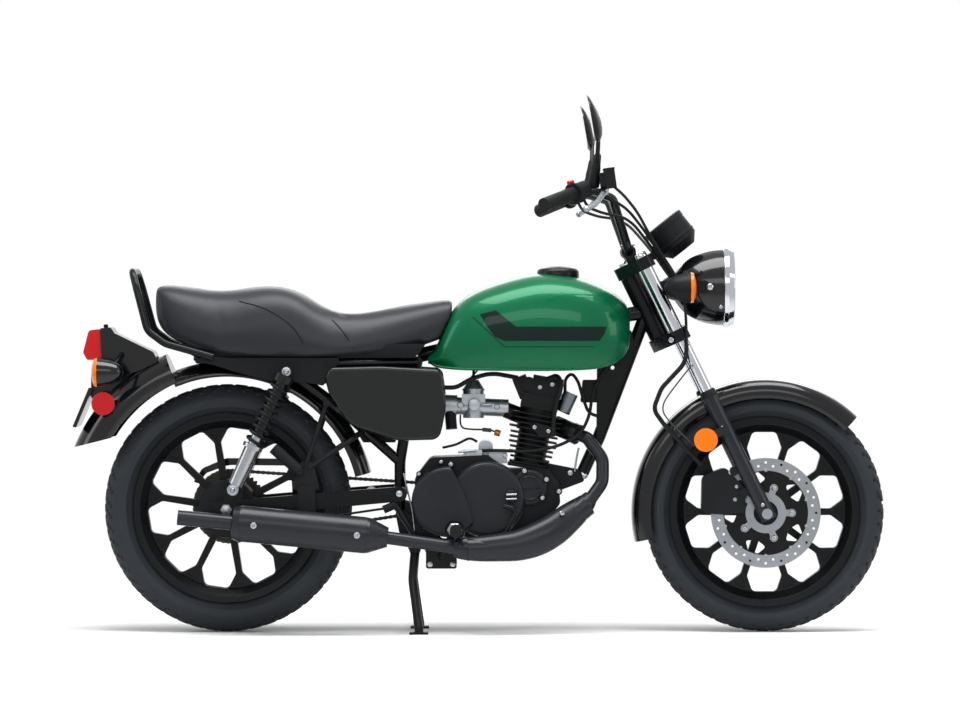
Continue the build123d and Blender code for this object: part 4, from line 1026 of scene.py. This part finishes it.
def addBolt(bm, bosses, kind, point, way, radius, height):
    if kind == "boss":
        addRod(bosses, point, point + way * height, radius * 1.4)
        addHex(bm, point + way * height, way, radius * 0.66, radius * 0.7)
    elif kind == "hex":
        addHex(bm, point, way, radius * 0.8, radius * 0.7)
    elif kind == "acorn":
        addHex(bm, point, way, radius, radius * 0.7)
        addDome(bm, point + way * (radius * 0.7), way, radius * 0.8, radius * 0.8)
    else:
        addDome(bm, point, way, radius)


def buildBolts():
    bosses = bmesh.new()
    for name, (body, rows) in bolts.items():
        bm = bmesh.new()
        for where, kind, x, y, z, radius, *rest in rows:
            height = rest[0] if rest else 0
            facing = rest[1] if len(rest) > 1 else left
            for side in [-1] * ("R" in where) + [1] * ("L" in where):
                way = Vector((facing[0], side * facing[1], facing[2])).normalized()
                addBolt(bm, bosses, kind, Vector((x, side * y, z)), way, radius, height)
        newPiece(name, bm, "zincPlate", body, 30)
    newPiece("screwBosses", bosses, "paintedCasting", "chassis", 40)


discFixings = {
    "bolts": 5, "boltRing": 64, "boltFace": -69, "boltRadius": 6,
    "rivets": 10, "rivetRing": 104.5, "rivetFace": -67,
    "rivet": [(0, 1.4), (3.6, 1.4), (4.2, 0.6), (4.2, -1), (0, -1)],
}


def roundFrontAxle(ring, turn, y):
    # A place on a ring round the front axle, at a share of a full turn
    x, z = frontAxle
    return (x + ring * math.cos(2 * math.pi * turn), y, z + ring * math.sin(2 * math.pi * turn))


def buildDiscFixings():
    bm = bmesh.new()
    boltCount, rivetCount = discFixings["bolts"], discFixings["rivets"]
    for number in range(boltCount):
        spot = roundFrontAxle(discFixings["boltRing"], number / boltCount, discFixings["boltFace"])
        addDome(bm, spot, right, discFixings["boltRadius"])
    for number in range(rivetCount):
        spot = roundFrontAxle(discFixings["rivetRing"], (number + 0.5) / rivetCount, discFixings["rivetFace"])
        addSpun(bm, discFixings["rivet"], aim(spot, right), 14)
    newPiece("discFixings", bm, "zincPlate", "front_wheel", 30)


valves = {
    "frontValve": {
        "look": "mouldedRubber", "body": "front_wheel", "smooth": 40,
        "rods": [((506, 0, 308), (533, 0, 307), 3.4)],
    },
    "rearValve": {
        "look": "mouldedRubber", "body": "rear_wheel", "smooth": 40,
        "rods": [((-421, 0, 336), (-448, 0, 332), 3.4)],
    },
}
buildBolts()
buildDiscFixings()
buildParts(valves)
print("stage: fasteners")


# Fork and front end
forkSettings = {
    "lean": 26,
    "legs": (-95, 95),
    "seal": [(15.2, 0), (21, 0), (21.4, 6), (20, 9), (20, 14), (17, 18), (15.2, 18)],
    "sealUp": 318,
    "cap": [(0, 8), (7, 8), (7.6, 7), (13, 6.4), (14.5, 4), (14.5, -2), (0, -2)],
    "capUp": 704,
    "stemNut": [(0, 9), (8, 9), (14, 8), (15.5, 5), (15.5, 0), (0, 0)],
    "stemNutUp": 699,
    "stemNutAhead": -43,
    "drainUp": 24,
    "drainOut": 19,
    "drainRadius": 5,
}
forkLean = math.radians(forkSettings["lean"])
forkUp = Vector((-math.sin(forkLean), 0, math.cos(forkLean)))
forkAhead = Vector((math.cos(forkLean), 0, math.sin(forkLean)))


def onFork(along, ahead, side):
    # A point so far up the fork from the axle, ahead of the legs' line and to the side
    x, z = frontAxle
    return Vector((x, side, z)) + forkUp * along + forkAhead * ahead


def buildForkDetails():
    # A dust seal above each slider, a cap on each tube, the stem's nut and a drain screw at each axle clamp.
    seals, caps, drains = bmesh.new(), bmesh.new(), bmesh.new()
    for leg in forkSettings["legs"]:
        out = 1 if leg > 0 else -1
        addSpun(seals, forkSettings["seal"], aim(onFork(forkSettings["sealUp"], 0, leg), forkUp), 28)
        addSpun(caps, forkSettings["cap"], aim(onFork(forkSettings["capUp"], 0, leg), forkUp), 28)
        spot = onFork(forkSettings["drainUp"], 0, leg + out * forkSettings["drainOut"])
        addDome(drains, spot, (0, out, 0), forkSettings["drainRadius"])
    stem = onFork(forkSettings["stemNutUp"], forkSettings["stemNutAhead"], 0)
    addSpun(caps, forkSettings["stemNut"], aim(stem, forkUp), 6)
    newPiece("dustSeals", seals, "mouldedRubber", "steering", 40)
    newPiece("forkCaps", caps, "chromePlate", "steering", 35)
    newPiece("drainScrews", drains, "zincPlate", "steering", 35)


lampSettings = {
    "place": (602.3, 0, 852),
    "dome": [(0, 31.4), (45, 28.5), (70, 24.5), (84.4, 19.6)],
    "wall": 3,
    "bowl": [(8, 0.6), (40, 2.6), (66, 8), (84, 16)],
    "bulbCap": [(0, 15), (9, 14), (11, 10), (11, 3), (0, 3)],
    "flute": 10.47,
    "fluteDepth": 1.2,
}


def buildHeadlamp():
    # A domed glass with upright flutes, and a chrome reflector and bulb cap behind it.
    place = aim(lampSettings["place"], (1, 0, 0))
    bm = bmesh.new()
    dome = throughPoints(lampSettings["dome"], 5)
    inner = [(spot.x * 0.975, spot.y - lampSettings["wall"]) for spot in reversed(dome)]
    addSpun(bm, dome + inner, place, 72)
    glass = newPiece("lampGlass", bm, "pressedGlass", "steering", 60, ("headlamp_lens",))
    material, tree, surface, spot = makeMaterial("flutedGlass", looks["pressedGlass"])
    flutes = addNode(
        tree,
        "ShaderNodeTexWave",
        {"wave_type": "BANDS", "bands_direction": "Y", "Scale": waveScale(lampSettings["flute"])},
        {"Vector": spot},
    )
    bump = addNode(
        tree,
        "ShaderNodeBump",
        {"Strength": 0.5, "Distance": lampSettings["fluteDepth"] * mm},
        {"Height": flutes.outputs["Fac"]},
    )
    tree.links.new(surface.inputs["Normal"], bump.outputs["Normal"])
    paint(glass, material)
    bm = bmesh.new()
    bowl = throughPoints(lampSettings["bowl"], 5)
    back = [(spot.x + 0.8, spot.y - 0.5) for spot in reversed(bowl)]
    addSpun(bm, [(0, 0.6)] + bowl + back + [(0, 0.1)], place, 64)
    addSpun(bm, lampSettings["bulbCap"], place, 32)
    newPiece("lampReflector", bm, "chromePlate", "steering", 50)


instrumentSettings = {
    "place": (455, 0, 1007),
    "facing": (-0.62, 0, 0.78),
    "bezel": [(48, 0.2), (48, 3), (50, 5), (53.6, 4), (54.2, 0), (54.2, -10), (53, -10), (53, 0.2)],
    "footRing": [(53.1, -52), (54.4, -51), (54.4, -46), (53.1, -45)],
    "dial": [(0, 0.9), (48, 0.9), (48, 0.3), (0, 0.3)],
    "glass": [(0, 4.2), (49, 4.2), (49, 3.4), (0, 3.4)],
    "hub": [(0, 4), (4, 3.6), (5, 1), (0, 1)],
    "ticks": 41,
    "longEvery": 4,
    "fromAngle": -225,
    "sweep": 270,
    "reach": 44,
    "longTick": (7, 1.2, 0.6),
    "shortTick": (4, 0.7, 0.6),
    "needle": (44, 1.6, 0.8),
}


def buildInstrument():
    # Bezel, dark dial with its scale and needle, and a thin flat glass.
    place = aim(instrumentSettings["place"], Vector(instrumentSettings["facing"]).normalized())
    bm = bmesh.new()
    addSpun(bm, instrumentSettings["bezel"], place, 64)
    addSpun(bm, instrumentSettings["footRing"], place, 64)
    newPiece("instrumentBezel", bm, "grainedPolypropylene", "steering", 40)
    bm = bmesh.new()
    addSpun(bm, instrumentSettings["dial"], place, 48)
    newPiece("dial", bm, "printedFoil", "steering", 40)
    bm = bmesh.new()
    fromAngle, ticks = instrumentSettings["fromAngle"], instrumentSettings["ticks"]
    for number in range(ticks):
        angle = math.radians(fromAngle + number * instrumentSettings["sweep"] / (ticks - 1))
        size = instrumentSettings["shortTick" if number % instrumentSettings["longEvery"] else "longTick"]
        turned = place @ Matrix.Rotation(-angle, 4, "Z")
        addBar(bm, turned, (instrumentSettings["reach"] - size[0] / 2, 0, 1.3), size)
    turned = place @ Matrix.Rotation(math.radians(-fromAngle), 4, "Z")
    addBar(bm, turned, (14, 0, 2.4), instrumentSettings["needle"])
    addSpun(bm, instrumentSettings["hub"], place, 24)
    newPiece("dialScale", bm, "whiteInk", "steering", 40)
    bm = bmesh.new()
    addSpun(bm, instrumentSettings["glass"], place, 48)
    newPiece("dialGlass", bm, "flatGlass", "steering", 40)


mirrorSettings = {
    "centre": (281, -330, 1262),
    "lean": 10.0,
    "drop": 0.9,
    "outline": [(-64, -6), (-50, 38), (-6, 56), (48, 46), (66, 4), (44, -46), (-30, -56)],
    "depths": [(0.0, 0.94), (1.5, 0.99), (4, 1.0), (9, 0.93), (15, 0.74), (20, 0.5), (23, 0.2)],
    "rim": -14,  # how far the housing's open edge stands behind the centre
    "glassShare": 0.88,
    "glassBack": -14.2,
    "stem": [(276, -248, 1092), (282, -254, 1130), (286, -276, 1178), (287, -306, 1222), (288, -324, 1248)],
    "stemRadius": 5.5,
}


def outlineRing(bm, spots, middle, side, rise, share):
    # The mirror's outline at a share of its size round a middle point
    return [bm.verts.new((middle + side * (x * share) + rise * (z * share)) * mm) for x, z in spots]


def buildMirrors():
    # A rounded housing behind each glass, on a stem that comes out of its boot.
    centre = Vector(mirrorSettings["centre"])
    lean = math.radians(mirrorSettings["lean"])
    normal = Vector((math.cos(lean), 0, math.sin(lean)))
    side = Vector(left)
    rise = Vector((-math.sin(lean), 0, math.cos(lean)))
    spots = throughPoints(mirrorSettings["outline"], 6, True)
    bm = bmesh.new()
    rings = []
    for depth, share in mirrorSettings["depths"]:
        middle = centre - rise * (mirrorSettings["drop"] * depth) + normal * (depth + mirrorSettings["rim"])
        rings.append(closeRing(bm, outlineRing(bm, spots, middle, side, rise, share)))
    for lower, upper in zip(rings, rings[1:]):
        bmesh.ops.bridge_loops(bm, edges=lower + upper)
    bmesh.ops.holes_fill(bm, edges=[edge for edge in bm.edges if edge.is_boundary])
    stem = throughPoints(mirrorSettings["stem"], 5)
    radius = mirrorSettings["stemRadius"]
    for start, end in zip(stem, stem[1:]):
        # Each stretch runs 1 mm into its neighbours
        far = (end - start).length + 1
        addSpun(bm, [(0, -1), (radius, -1), (radius, far), (0, far)], aim(start, end - start), 14)
    bothSides(bm)
    newPiece("mirrorHousings", bm, "mouldedNylon", "steering", 50, ("mirrors",))
    bm = bmesh.new()
    middle = centre + normal * mirrorSettings["glassBack"]
    addPlate(bm, outlineRing(bm, spots, middle, side, rise, mirrorSettings["glassShare"]), normal * mm)
    bothSides(bm)
    newPiece("mirrorGlasses", bm, "silveredGlass", "steering", 30)


# Bar fittings: red stop switch, reservoir lid with its screws, rubber boots on the mirror stems
barFittings = {
    "stopSwitch": {
        "look": "redNylon", "body": "steering", "smooth": 40,
        "rods": [((221, -300, 1098), (219, -301, 1108), 9)],
    },
    "mirrorBoots": {
        "look": "mouldedRubber", "body": "steering", "smooth": 50, "bothSides": True,
        "turned": [(
            [(6.1, -2), (14, -2), (15, 8), (13, 16), (13.5, 22), (11.5, 34), (12, 40), (10, 56), (9, 74),
             (6.2, 80)],
            (276, -249, 1096), (0.14, -0.16, 1), 20,
        )],
    },
}
lidSettings = {
    "place": (316, -262, 1113), "tilt": -8, "up": 24, "size": (28, 56, 5), "edge": 1.6,
    "screws": (-20, 20), "screwUp": 26.5, "screwRadius": 3,
}


def buildReservoirLid():
    place = Matrix.Translation(Vector(lidSettings["place"]) * mm)
    place = place @ Matrix.Rotation(math.radians(lidSettings["tilt"]), 4, "Y")
    bm = bmesh.new()
    addBar(bm, place, (0, 0, lidSettings["up"]), lidSettings["size"])
    bmesh.ops.bevel(
        bm, geom=bm.edges[:], offset=lidSettings["edge"] * mm, affect="EDGES", segments=3, profile=0.5,
        material=-1,
    )
    newPiece("reservoirLid", bm, "grainedPolypropylene", "steering", 40)
    bm = bmesh.new()
    for shift in lidSettings["screws"]:
        spot = place @ Vector((0, shift * mm, lidSettings["screwUp"] * mm)) / mm
        addDome(bm, spot, place.to_3x3() @ Vector(up), lidSettings["screwRadius"])
    newPiece("lidScrews", bm, "zincPlate", "steering", 40)


leverSettings = {
    "blade": [
        (304, -252, 1082, 7.5), (300, -282, 1078, 7.2), (290, -318, 1064, 6.8), (276, -360, 1048.6, 6.4),
        (256, -397, 1038, 6),
    ],
    "flat": 0.7,
    "ball": [(0, -8), (5, -6.5), (8, -2), (8, 2), (5, 6.5), (0, 8)],
    "pivot": [(0, -8), (9, -8), (10, -7), (10, 7), (9, 8), (0, 8)],
    "pivotPlace": (303, -256, 1083),
    "pivotWay": (0.1, -0.1, 1),
}


def buildLevers():
    # Flat blades with a ball at the end, pivoted in front of the switch pods.
    bm = bmesh.new()
    addSweep(bm, leverSettings["blade"], leverSettings["flat"], 12)
    way = [spot.xyz for spot in throughPoints(leverSettings["blade"], 4)]
    addSpun(bm, leverSettings["ball"], aim(way[-1], way[-1] - way[-2]), 20)
    addSpun(bm, leverSettings["pivot"], aim(leverSettings["pivotPlace"], leverSettings["pivotWay"]), 24)
    bothSides(bm)
    newPiece("leverBlades", bm, "castAluminium", "steering", 40, ("hand_levers",))


buildForkDetails()
buildHeadlamp()
buildInstrument()
buildMirrors()
buildParts(barFittings)
buildReservoirLid()
buildLevers()
print("stage: front end")


# Engine details
# The long cover over the header's lower bend, widest where the pipe turns back
headerCover = {
    "rows": [
        (274, -93, 337, 18), (262, -100, 322, 24), (240, -110, 302, 32), (212, -121, 280, 37),
        (180, -131, 256, 40), (140, -139, 235, 41), (96, -145, 221, 38), (50, -150, 216, 34.5),
        (0, -155, 213, 31), (-44, -158, 214, 27), (-62, -158.5, 216, 19),
    ],
    "flat": 0.82,
}
engineDetails = {
    # Plug on the clutch cover with the ring round it, and the ring of the cover ahead
    "coverPlug": {
        "look": "zincPlate", "smooth": 35,
        "turned": [([(0, 12), (16, 12), (19, 9), (19, 0), (0, 0)], (-60, -112, 256), right, 6)],
    },
    "coverRings": {
        "look": "powderCoat", "smooth": 40,
        "turned": [
            ([(20, 0), (27, 0), (27, 4), (24, 8), (20, 8)], (-60, -110, 256), right, 32),
            ([(30, 0), (30, 3), (28.5, 4), (27, 3), (27, 0)], (123, -97, 359), right, 40),
        ],
    },
    # Oil filler: two bright rims on a dark cap in the recess between the covers
    "oilFiller": {
        "look": "grainedPolypropylene", "smooth": 35,
        "turned": [([(0, 5), (14, 5), (16.5, 3), (16.5, 0), (0, 0)], (79, -114, 338), right, 28)],
    },
    "fillerRims": {
        "look": "castAluminium", "smooth": 35,
        "rods": [((66, -119, 332), (92, -119, 333), 2.6, 12), ((66, -119, 343), (92, -119, 344), 2.6, 12)],
    },
    "coverSlot": {
        "look": "grainedPolypropylene", "radius": 1.3,
        "way": [(98, -97.6, 356), (123, -97.8, 357), (148, -97.6, 358)],
    },
    # Carburettor: round cover, rings of the dome and the bowl, fuel union and the ends of its spindles
    "carburettorTrim": {
        "look": "castAluminium", "smooth": 35,
        "turned": [
            ([(0, 6), (9, 6), (14, 4), (15, 0), (0, 0)], (-12, -44, 562), right, 28),
            ([(26.2, 0), (28, 0), (28, 4), (26.2, 4)], (-14, 0, 596), up, 36),
            ([(26.2, 0), (27.5, 0), (27.5, 3), (26.2, 3)], (-14, 0, 540), up, 36),
        ],
        "rods": [
            ((8, -34, 562), (32, -36, 562), 4), ((-46, -30, 560), (-46, -40, 560), 8),
            ((44, -18, 556), (44, -30, 556), 7),
        ],
    },
    "airCutValve": {"look": "cableSheath", "smooth": 35, "rods": [((8, -32, 500), (30, -34, 498), 5)]},
    "drainUnion": {"look": "copperPlate", "smooth": 35, "rods": [((38, -36, 494), (52, -36, 490), 8)]},
    "drainPipe": {
        "look": "mouldedRubber", "radius": 2.2,
        "way": [(-46, -30, 536), (-50, -36, 505), (-20, -38, 500), (10, -34, 500)],
    },
    "unionPipe": {
        "look": "mouldedRubber", "radius": 2.2, "way": [(28, -34, 498), (36, -36, 497), (42, -36, 493)],
    },
    "starterLead": {
        "look": "mouldedRubber", "radius": 3.2,
        "way": [(-6, -36, 470), (-20, -44, 482), (-44, -50, 470), (-60, -56, 462), (-90, -50, 456)],
    },
    "throttleLink": {
        "look": "mouldedRubber", "radius": 2.2,
        "way": [(-34, -30, 600), (-22, -34, 628), (-8, -20, 640), (6, -6, 660)],
    },
    "clutchArm": {"look": "castAluminium", "smooth": 35, "rods": [((-52, -70, 446), (-8, -70, 450), 3)]},
    # Brake light switch's spring, the starter's stay and the thin wire beside the front hose
    "brakeSwitchSpring": {
        "look": "zincPlate", "radius": 2.0,
        "way": [(-186, -74, 394), (-176, -76, 350), (-162, -84, 296), (-158, -92, 240)],
    },
    "pumpStay": {
        "look": "zincPlate", "radius": 2.6, "way": [(246, -14, 454), (240, -18, 430), (236, -14, 396)],
    },
    "hoseWire": {
        "look": "cableSheath", "radius": 1.8, "body": "steering",
        "way": [(520, -122, 660), (476, -128, 606), (444, -128, 560), (460, -126, 524), (528, -108, 462)],
    },
}
bm = bmesh.new()
addSweep(bm, headerCover["rows"], headerCover["flat"], 32)
newPiece("headerCover", bm, "heatProofPaint", "chassis", 50)
buildParts(engineDetails)
print("stage: engine details")


# Tank and tail trim
trim = {
    # Low cap with a rounded edge and a raised middle where the key flap lies
    "tankCap": {
        "look": "mouldedNylon", "smooth": 40, "stands": ("fuel_cap",),
        "turned": [(
            [(0, 30.6), (26, 30.2), (33, 27.6), (42, 26.6), (48, 24), (51.4, 18), (52, 10), (52, 0), (0, 0)],
            (195, 0, 872), up, 64,
        )],
    },
    "tailKnob": {
        "look": "grainedPolypropylene", "smooth": 40,
        "turned": [([(0, 5), (5, 4), (6, 0), (5, -4), (0, -4)], (-924, 0, 755), up, 20)],
    },
}
tankLip = {
    "radius": 3.4,
    "way": [
        (-122, 54, 668), (-112, 66, 659), (-95, 73, 655), (-56, 90, 651), (10, 105, 649.5), (100, 117, 649),
        (200, 121, 649), (290, 111, 653), (330, 92, 664), (352, 74, 686), (366, 60, 712), (371, 52, 736),
    ],
}
axleEnd = {"out": 126, "radius": 8, "height": 6}
fenderCreases = {
    "radius": 1.8,
    "sunk": -0.6,
    "ways": {
        "fenderCreaseUpper": [(-862, 624), (-826, 650), (-779, 684)],
        "fenderCreaseLower": [(-830, 589), (-790, 612), (-746, 632)],
    },
}


def buildTrim():
    # The tank's welded lip, the rear axle's ends and the two creases on each side of the rear fender.
    buildParts(trim)
    for side, word in sides:
        way = [(x, side * y, z) for x, y, z in tankLip["way"]]
        addLine("tankLip" + word, way, tankLip["radius"], "metallicLacquer", "chassis")
    bm = bmesh.new()
    for side, word in sides:
        spot = (rearAxle[0], side * axleEnd["out"], rearAxle[1])
        addHex(bm, spot, (0, side, 0), axleEnd["radius"], axleEnd["height"])
    newPiece("axleEnds", bm, "zincPlate", "chassis", 35)
    bpy.context.view_layer.update()
    fender = BVHTree.FromObject(nodes["rear_fender"], bpy.context.evaluated_depsgraph_get())
    for name, way in fenderCreases["ways"].items():
        for side, word in sides:
            spots = alongSurface(fender, way, 4, side, fenderCreases["sunk"])
            addLine(name + word, spots, fenderCreases["radius"], "polishedAbs", "chassis")


buildTrim()
print("stage: trim")


# Studio
studioSettings = {
    "lamps": {
        "top": {"place": (0.1, -0.6, 3.6), "aim": (0, 0, 0.5), "size": (3.6, 1.8), "power": 250},
        "right": {"place": (-0.4, -4.6, 2.4), "aim": (0, 0, 0.5), "size": (4.4, 1.2), "power": 55},
        "front": {"place": (4.2, -1.6, 1.8), "aim": (0.4, 0, 0.6), "size": (1.2, 2.4), "power": 36},
        "rear": {"place": (-4.2, -1.0, 2.0), "aim": (-0.4, 0, 0.6), "size": (1.2, 2.4), "power": 36},
        "left": {"place": (0.4, 4.2, 2.6), "aim": (0, 0, 0.5), "size": (3.6, 1.6), "power": 60},
    },
    "fill": 0.26,
    "fillColour": "e9ecef",
    "floorSize": 14,
    "floorShade": 0.93,
    "fade": (1.1, 2.6),  # from floor to backdrop, as distances from the machine's middle
}


def buildWorld():
    # White to the camera, in reflections and through glass. Everything else is lit by the weaker fill.
    world = bpy.data.worlds.new("studio")
    bpy.context.scene.world = world
    world.use_nodes = True
    tree = world.node_tree
    tree.nodes.clear()
    seen = addNode(tree, "ShaderNodeLightPath").outputs
    direct = addNode(
        tree,
        "ShaderNodeMath",
        {"operation": "MAXIMUM"},
        {0: seen["Is Camera Ray"], 1: seen["Is Transmission Ray"]},
    )
    shine = addNode(
        tree, "ShaderNodeMath", {"operation": "MAXIMUM"}, {0: direct.outputs[0], 1: seen["Is Glossy Ray"]}
    )
    fill = {"Color": linear(studioSettings["fillColour"]), "Strength": studioSettings["fill"]}
    lit = addNode(tree, "ShaderNodeBackground", fill)
    white = addNode(tree, "ShaderNodeBackground", {"Color": (1, 1, 1, 1), "Strength": 1.0})
    mix = addNode(
        tree, "ShaderNodeMixShader", {}, {0: shine.outputs[0], 1: lit.outputs[0], 2: white.outputs[0]}
    )
    addNode(tree, "ShaderNodeOutputWorld", {}, {"Surface": mix.outputs[0]})


def buildFloor():
    # Pale matt paper that fades into the white backdrop.
    mesh = bpy.data.meshes.new("floor")
    bm = bmesh.new()
    bmesh.ops.create_grid(bm, x_segments=1, y_segments=1, size=studioSettings["floorSize"])
    bm.to_mesh(mesh)
    bm.free()
    floor = bpy.data.objects.new("floor", mesh)
    bpy.context.collection.objects.link(floor)
    material = bpy.data.materials.new("backdropPaper")
    material.use_nodes = True
    tree = material.node_tree
    tree.nodes.clear()
    place = addNode(tree, "ShaderNodeTexCoord").outputs["Object"]
    distance = addNode(tree, "ShaderNodeVectorMath", {"operation": "LENGTH"}, {0: place})
    near, far = studioSettings["fade"]
    fade = addNode(
        tree,
        "ShaderNodeMapRange",
        {"From Min": near, "From Max": far, "To Min": 0.0, "To Max": 1.0, "interpolation_type": "SMOOTHSTEP"},
        {"Value": distance.outputs["Value"]},
    )
    shade = studioSettings["floorShade"]
    matte = addNode(tree, "ShaderNodeBsdfDiffuse", {"Color": (shade, shade, shade, 1)})
    glow = addNode(tree, "ShaderNodeEmission", {"Color": (1, 1, 1, 1), "Strength": 1.0})
    mix = addNode(
        tree, "ShaderNodeMixShader", {}, {0: fade.outputs["Result"], 1: matte.outputs[0], 2: glow.outputs[0]}
    )
    addNode(tree, "ShaderNodeOutputMaterial", {}, {"Surface": mix.outputs[0]})
    mesh.materials.append(material)


def buildLamps():
    # Soft light from above, the side that shows, both ends and the far side.
    for name, lamp in studioSettings["lamps"].items():
        light = bpy.data.lights.new(name, "AREA")
        light.shape = "RECTANGLE"
        light.size, light.size_y = lamp["size"]
        light.energy = lamp["power"]
        holder = bpy.data.objects.new(name, light)
        holder.location = lamp["place"]
        way = Vector(lamp["aim"]) - Vector(lamp["place"])
        holder.rotation_euler = way.to_track_quat("-Z", "Y").to_euler()
        bpy.context.collection.objects.link(holder)


# pixel is what one pixel of the picture spans in the machine's middle plane, and middle is what the picture's
# centre shows there.
cameraSettings = {"distance": 11.0, "height": 0.85, "pixel": 0.002475, "pixels": 960, "middle": (0.002, 0.671)}


def buildCamera():
    # Looks straight at the right side. Its shift puts the machine where the photo has it.
    width = cameraSettings["pixels"] * cameraSettings["pixel"]
    camera = bpy.data.cameras.new("camera")
    camera.sensor_width = 36
    camera.lens = camera.sensor_width * cameraSettings["distance"] / width
    camera.shift_x = cameraSettings["middle"][0] / width
    camera.shift_y = (cameraSettings["middle"][1] - cameraSettings["height"]) / width
    camera.clip_end = 60
    holder = bpy.data.objects.new("camera", camera)
    holder.location = (0, -cameraSettings["distance"], cameraSettings["height"])
    holder.rotation_euler = (math.radians(90), 0, 0)
    bpy.context.collection.objects.link(holder)
    bpy.context.scene.camera = holder
    bpy.context.scene.view_settings.view_transform = "Standard"


buildWorld()
buildFloor()
buildLamps()
buildCamera()
print("stage: studio and camera")
